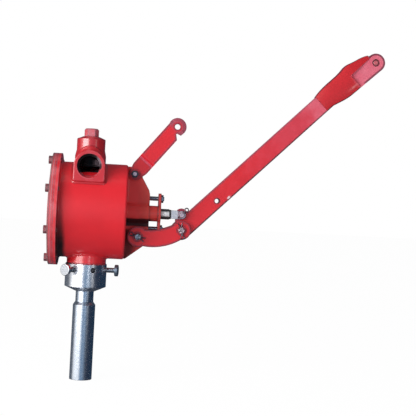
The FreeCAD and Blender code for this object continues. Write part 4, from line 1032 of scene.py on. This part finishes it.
def make_floor():
    """Plain pale floor that the eye sees as white, and that keeps a faint shadow."""
    f = Finish("pale_floor")
    path, seen = is_seen(f)
    plain = f.add("ShaderNodeBsdfDiffuse", None, {"Color": FLOOR_GREY})
    white = f.add("ShaderNodeEmission", None, {"Color": WHITE, "Strength": 1.04})
    mixed = f.add("ShaderNodeMixShader", None, {0: seen * 0.93, 1: plain, 2: white})
    f.add("ShaderNodeOutputMaterial", None, {"Surface": mixed})
    mesh = bpy.data.meshes.new("floor")
    corners = [(x * FLOOR_REACH, y * FLOOR_REACH, FLOOR_Z) for x, y in ((-1, -1), (1, -1), (1, 1), (-1, 1))]
    mesh.from_pydata(corners, [], [(0, 1, 2, 3)])
    mesh.materials.append(f.material)
    floor = bpy.data.objects.new("floor", mesh)
    bpy.context.scene.collection.objects.link(floor)
    floor.visible_glossy = False


def make_room():
    """White to the eye. The metal mirrors a room that is white on the left, blue grey in the middle,
    and dark on the right, behind, above and below."""
    world = bpy.data.worlds.new("studio_room")
    bpy.context.scene.world = world
    world.use_nodes = True
    world.node_tree.nodes.clear()
    m = Maker(world.node_tree)
    x, y, z = m.split(m.add("ShaderNodeTexCoord", out="Generated"), "XYZ")
    mirrored = m.tint(m.between(x, -0.16, -0.34), ROOM_MIDDLE, ROOM_LEFT)
    mirrored = m.tint(m.between(x, 0.22, 0.68), mirrored, ROOM_RIGHT)
    mirrored = m.tint(m.between(y, -0.20, 0.25) * 0.92, mirrored, ROOM_BACK)
    mirrored = m.tint(m.between(m.maths("ABSOLUTE", z), 0.12, 0.55) * 0.85, mirrored, ROOM_ABOVE)
    behind = m.between(y, -0.3, 0.9)
    left = m.between(x, 0.7, -0.7)
    above = m.between(z, 0.1, 0.9)
    fill = 0.33 + 0.16 * behind + 0.10 * left + 0.03 * above
    filled = m.add("ShaderNodeCombineColor", None, {"Red": fill, "Green": fill, "Blue": fill * 1.03})
    path, seen = is_seen(m)
    colour = m.tint(m.also(path, "Is Glossy Ray"), filled, mirrored)
    colour = m.tint(seen, colour, WHITE)
    ground = m.add("ShaderNodeBackground", None, {"Color": colour, "Strength": 1.0})
    m.add("ShaderNodeOutputWorld", None, {"Surface": ground})


def add_lamp(name, place, aim, width, height, power):
    light = bpy.data.lights.new(name, "AREA")
    light.shape = "RECTANGLE"
    light.size = width
    light.size_y = height
    light.energy = power
    lamp = bpy.data.objects.new(name, light)
    bpy.context.scene.collection.objects.link(lamp)
    lamp.location = place
    lamp.rotation_euler = (Vector(aim) - Vector(place)).to_track_quat("-Z", "Y").to_euler()


def make_camera():
    """Eye level with the pump, a little to its left, and rolled, so that the pump leans clockwise."""
    data = bpy.data.cameras.new("camera")
    data.lens = LENS_MM
    data.sensor_width = SENSOR_MM
    data.clip_start = 0.05
    data.clip_end = 60.0
    camera = bpy.data.objects.new("camera", data)
    bpy.context.scene.collection.objects.link(camera)
    upright = Vector((0, 0, 1))
    ahead = Vector(EYE_AHEAD).normalized()
    level = ahead.cross(upright).normalized()
    right = level * math.cos(EYE_ROLL) + upright * math.sin(EYE_ROLL)
    up = right.cross(ahead)
    turn = Matrix((right, up, -ahead)).transposed()
    camera.matrix_world = Matrix.Translation(EYE) @ turn.to_4x4()
    bpy.context.scene.camera = camera


make_floor()
make_room()
add_lamp("key_left", (-1.36, -1.42, 0.70), PUMP_MIDDLE, width=1.7, height=1.2, power=39.5)
add_lamp("pane_right", (0.62, -2.00, 0.130), COLLAR_MIDDLE, width=0.40, height=0.07, power=0.42)
add_lamp("strip_right", (1.50, -1.80, 0.39), PUMP_MIDDLE, width=0.07, height=0.14, power=2.2)
add_lamp("softbox_above", (-0.5, -0.4, 2.3), PUMP_MIDDLE, width=1.0, height=1.0, power=2.0)
make_camera()
bpy.context.scene.view_settings.view_transform = "Standard"
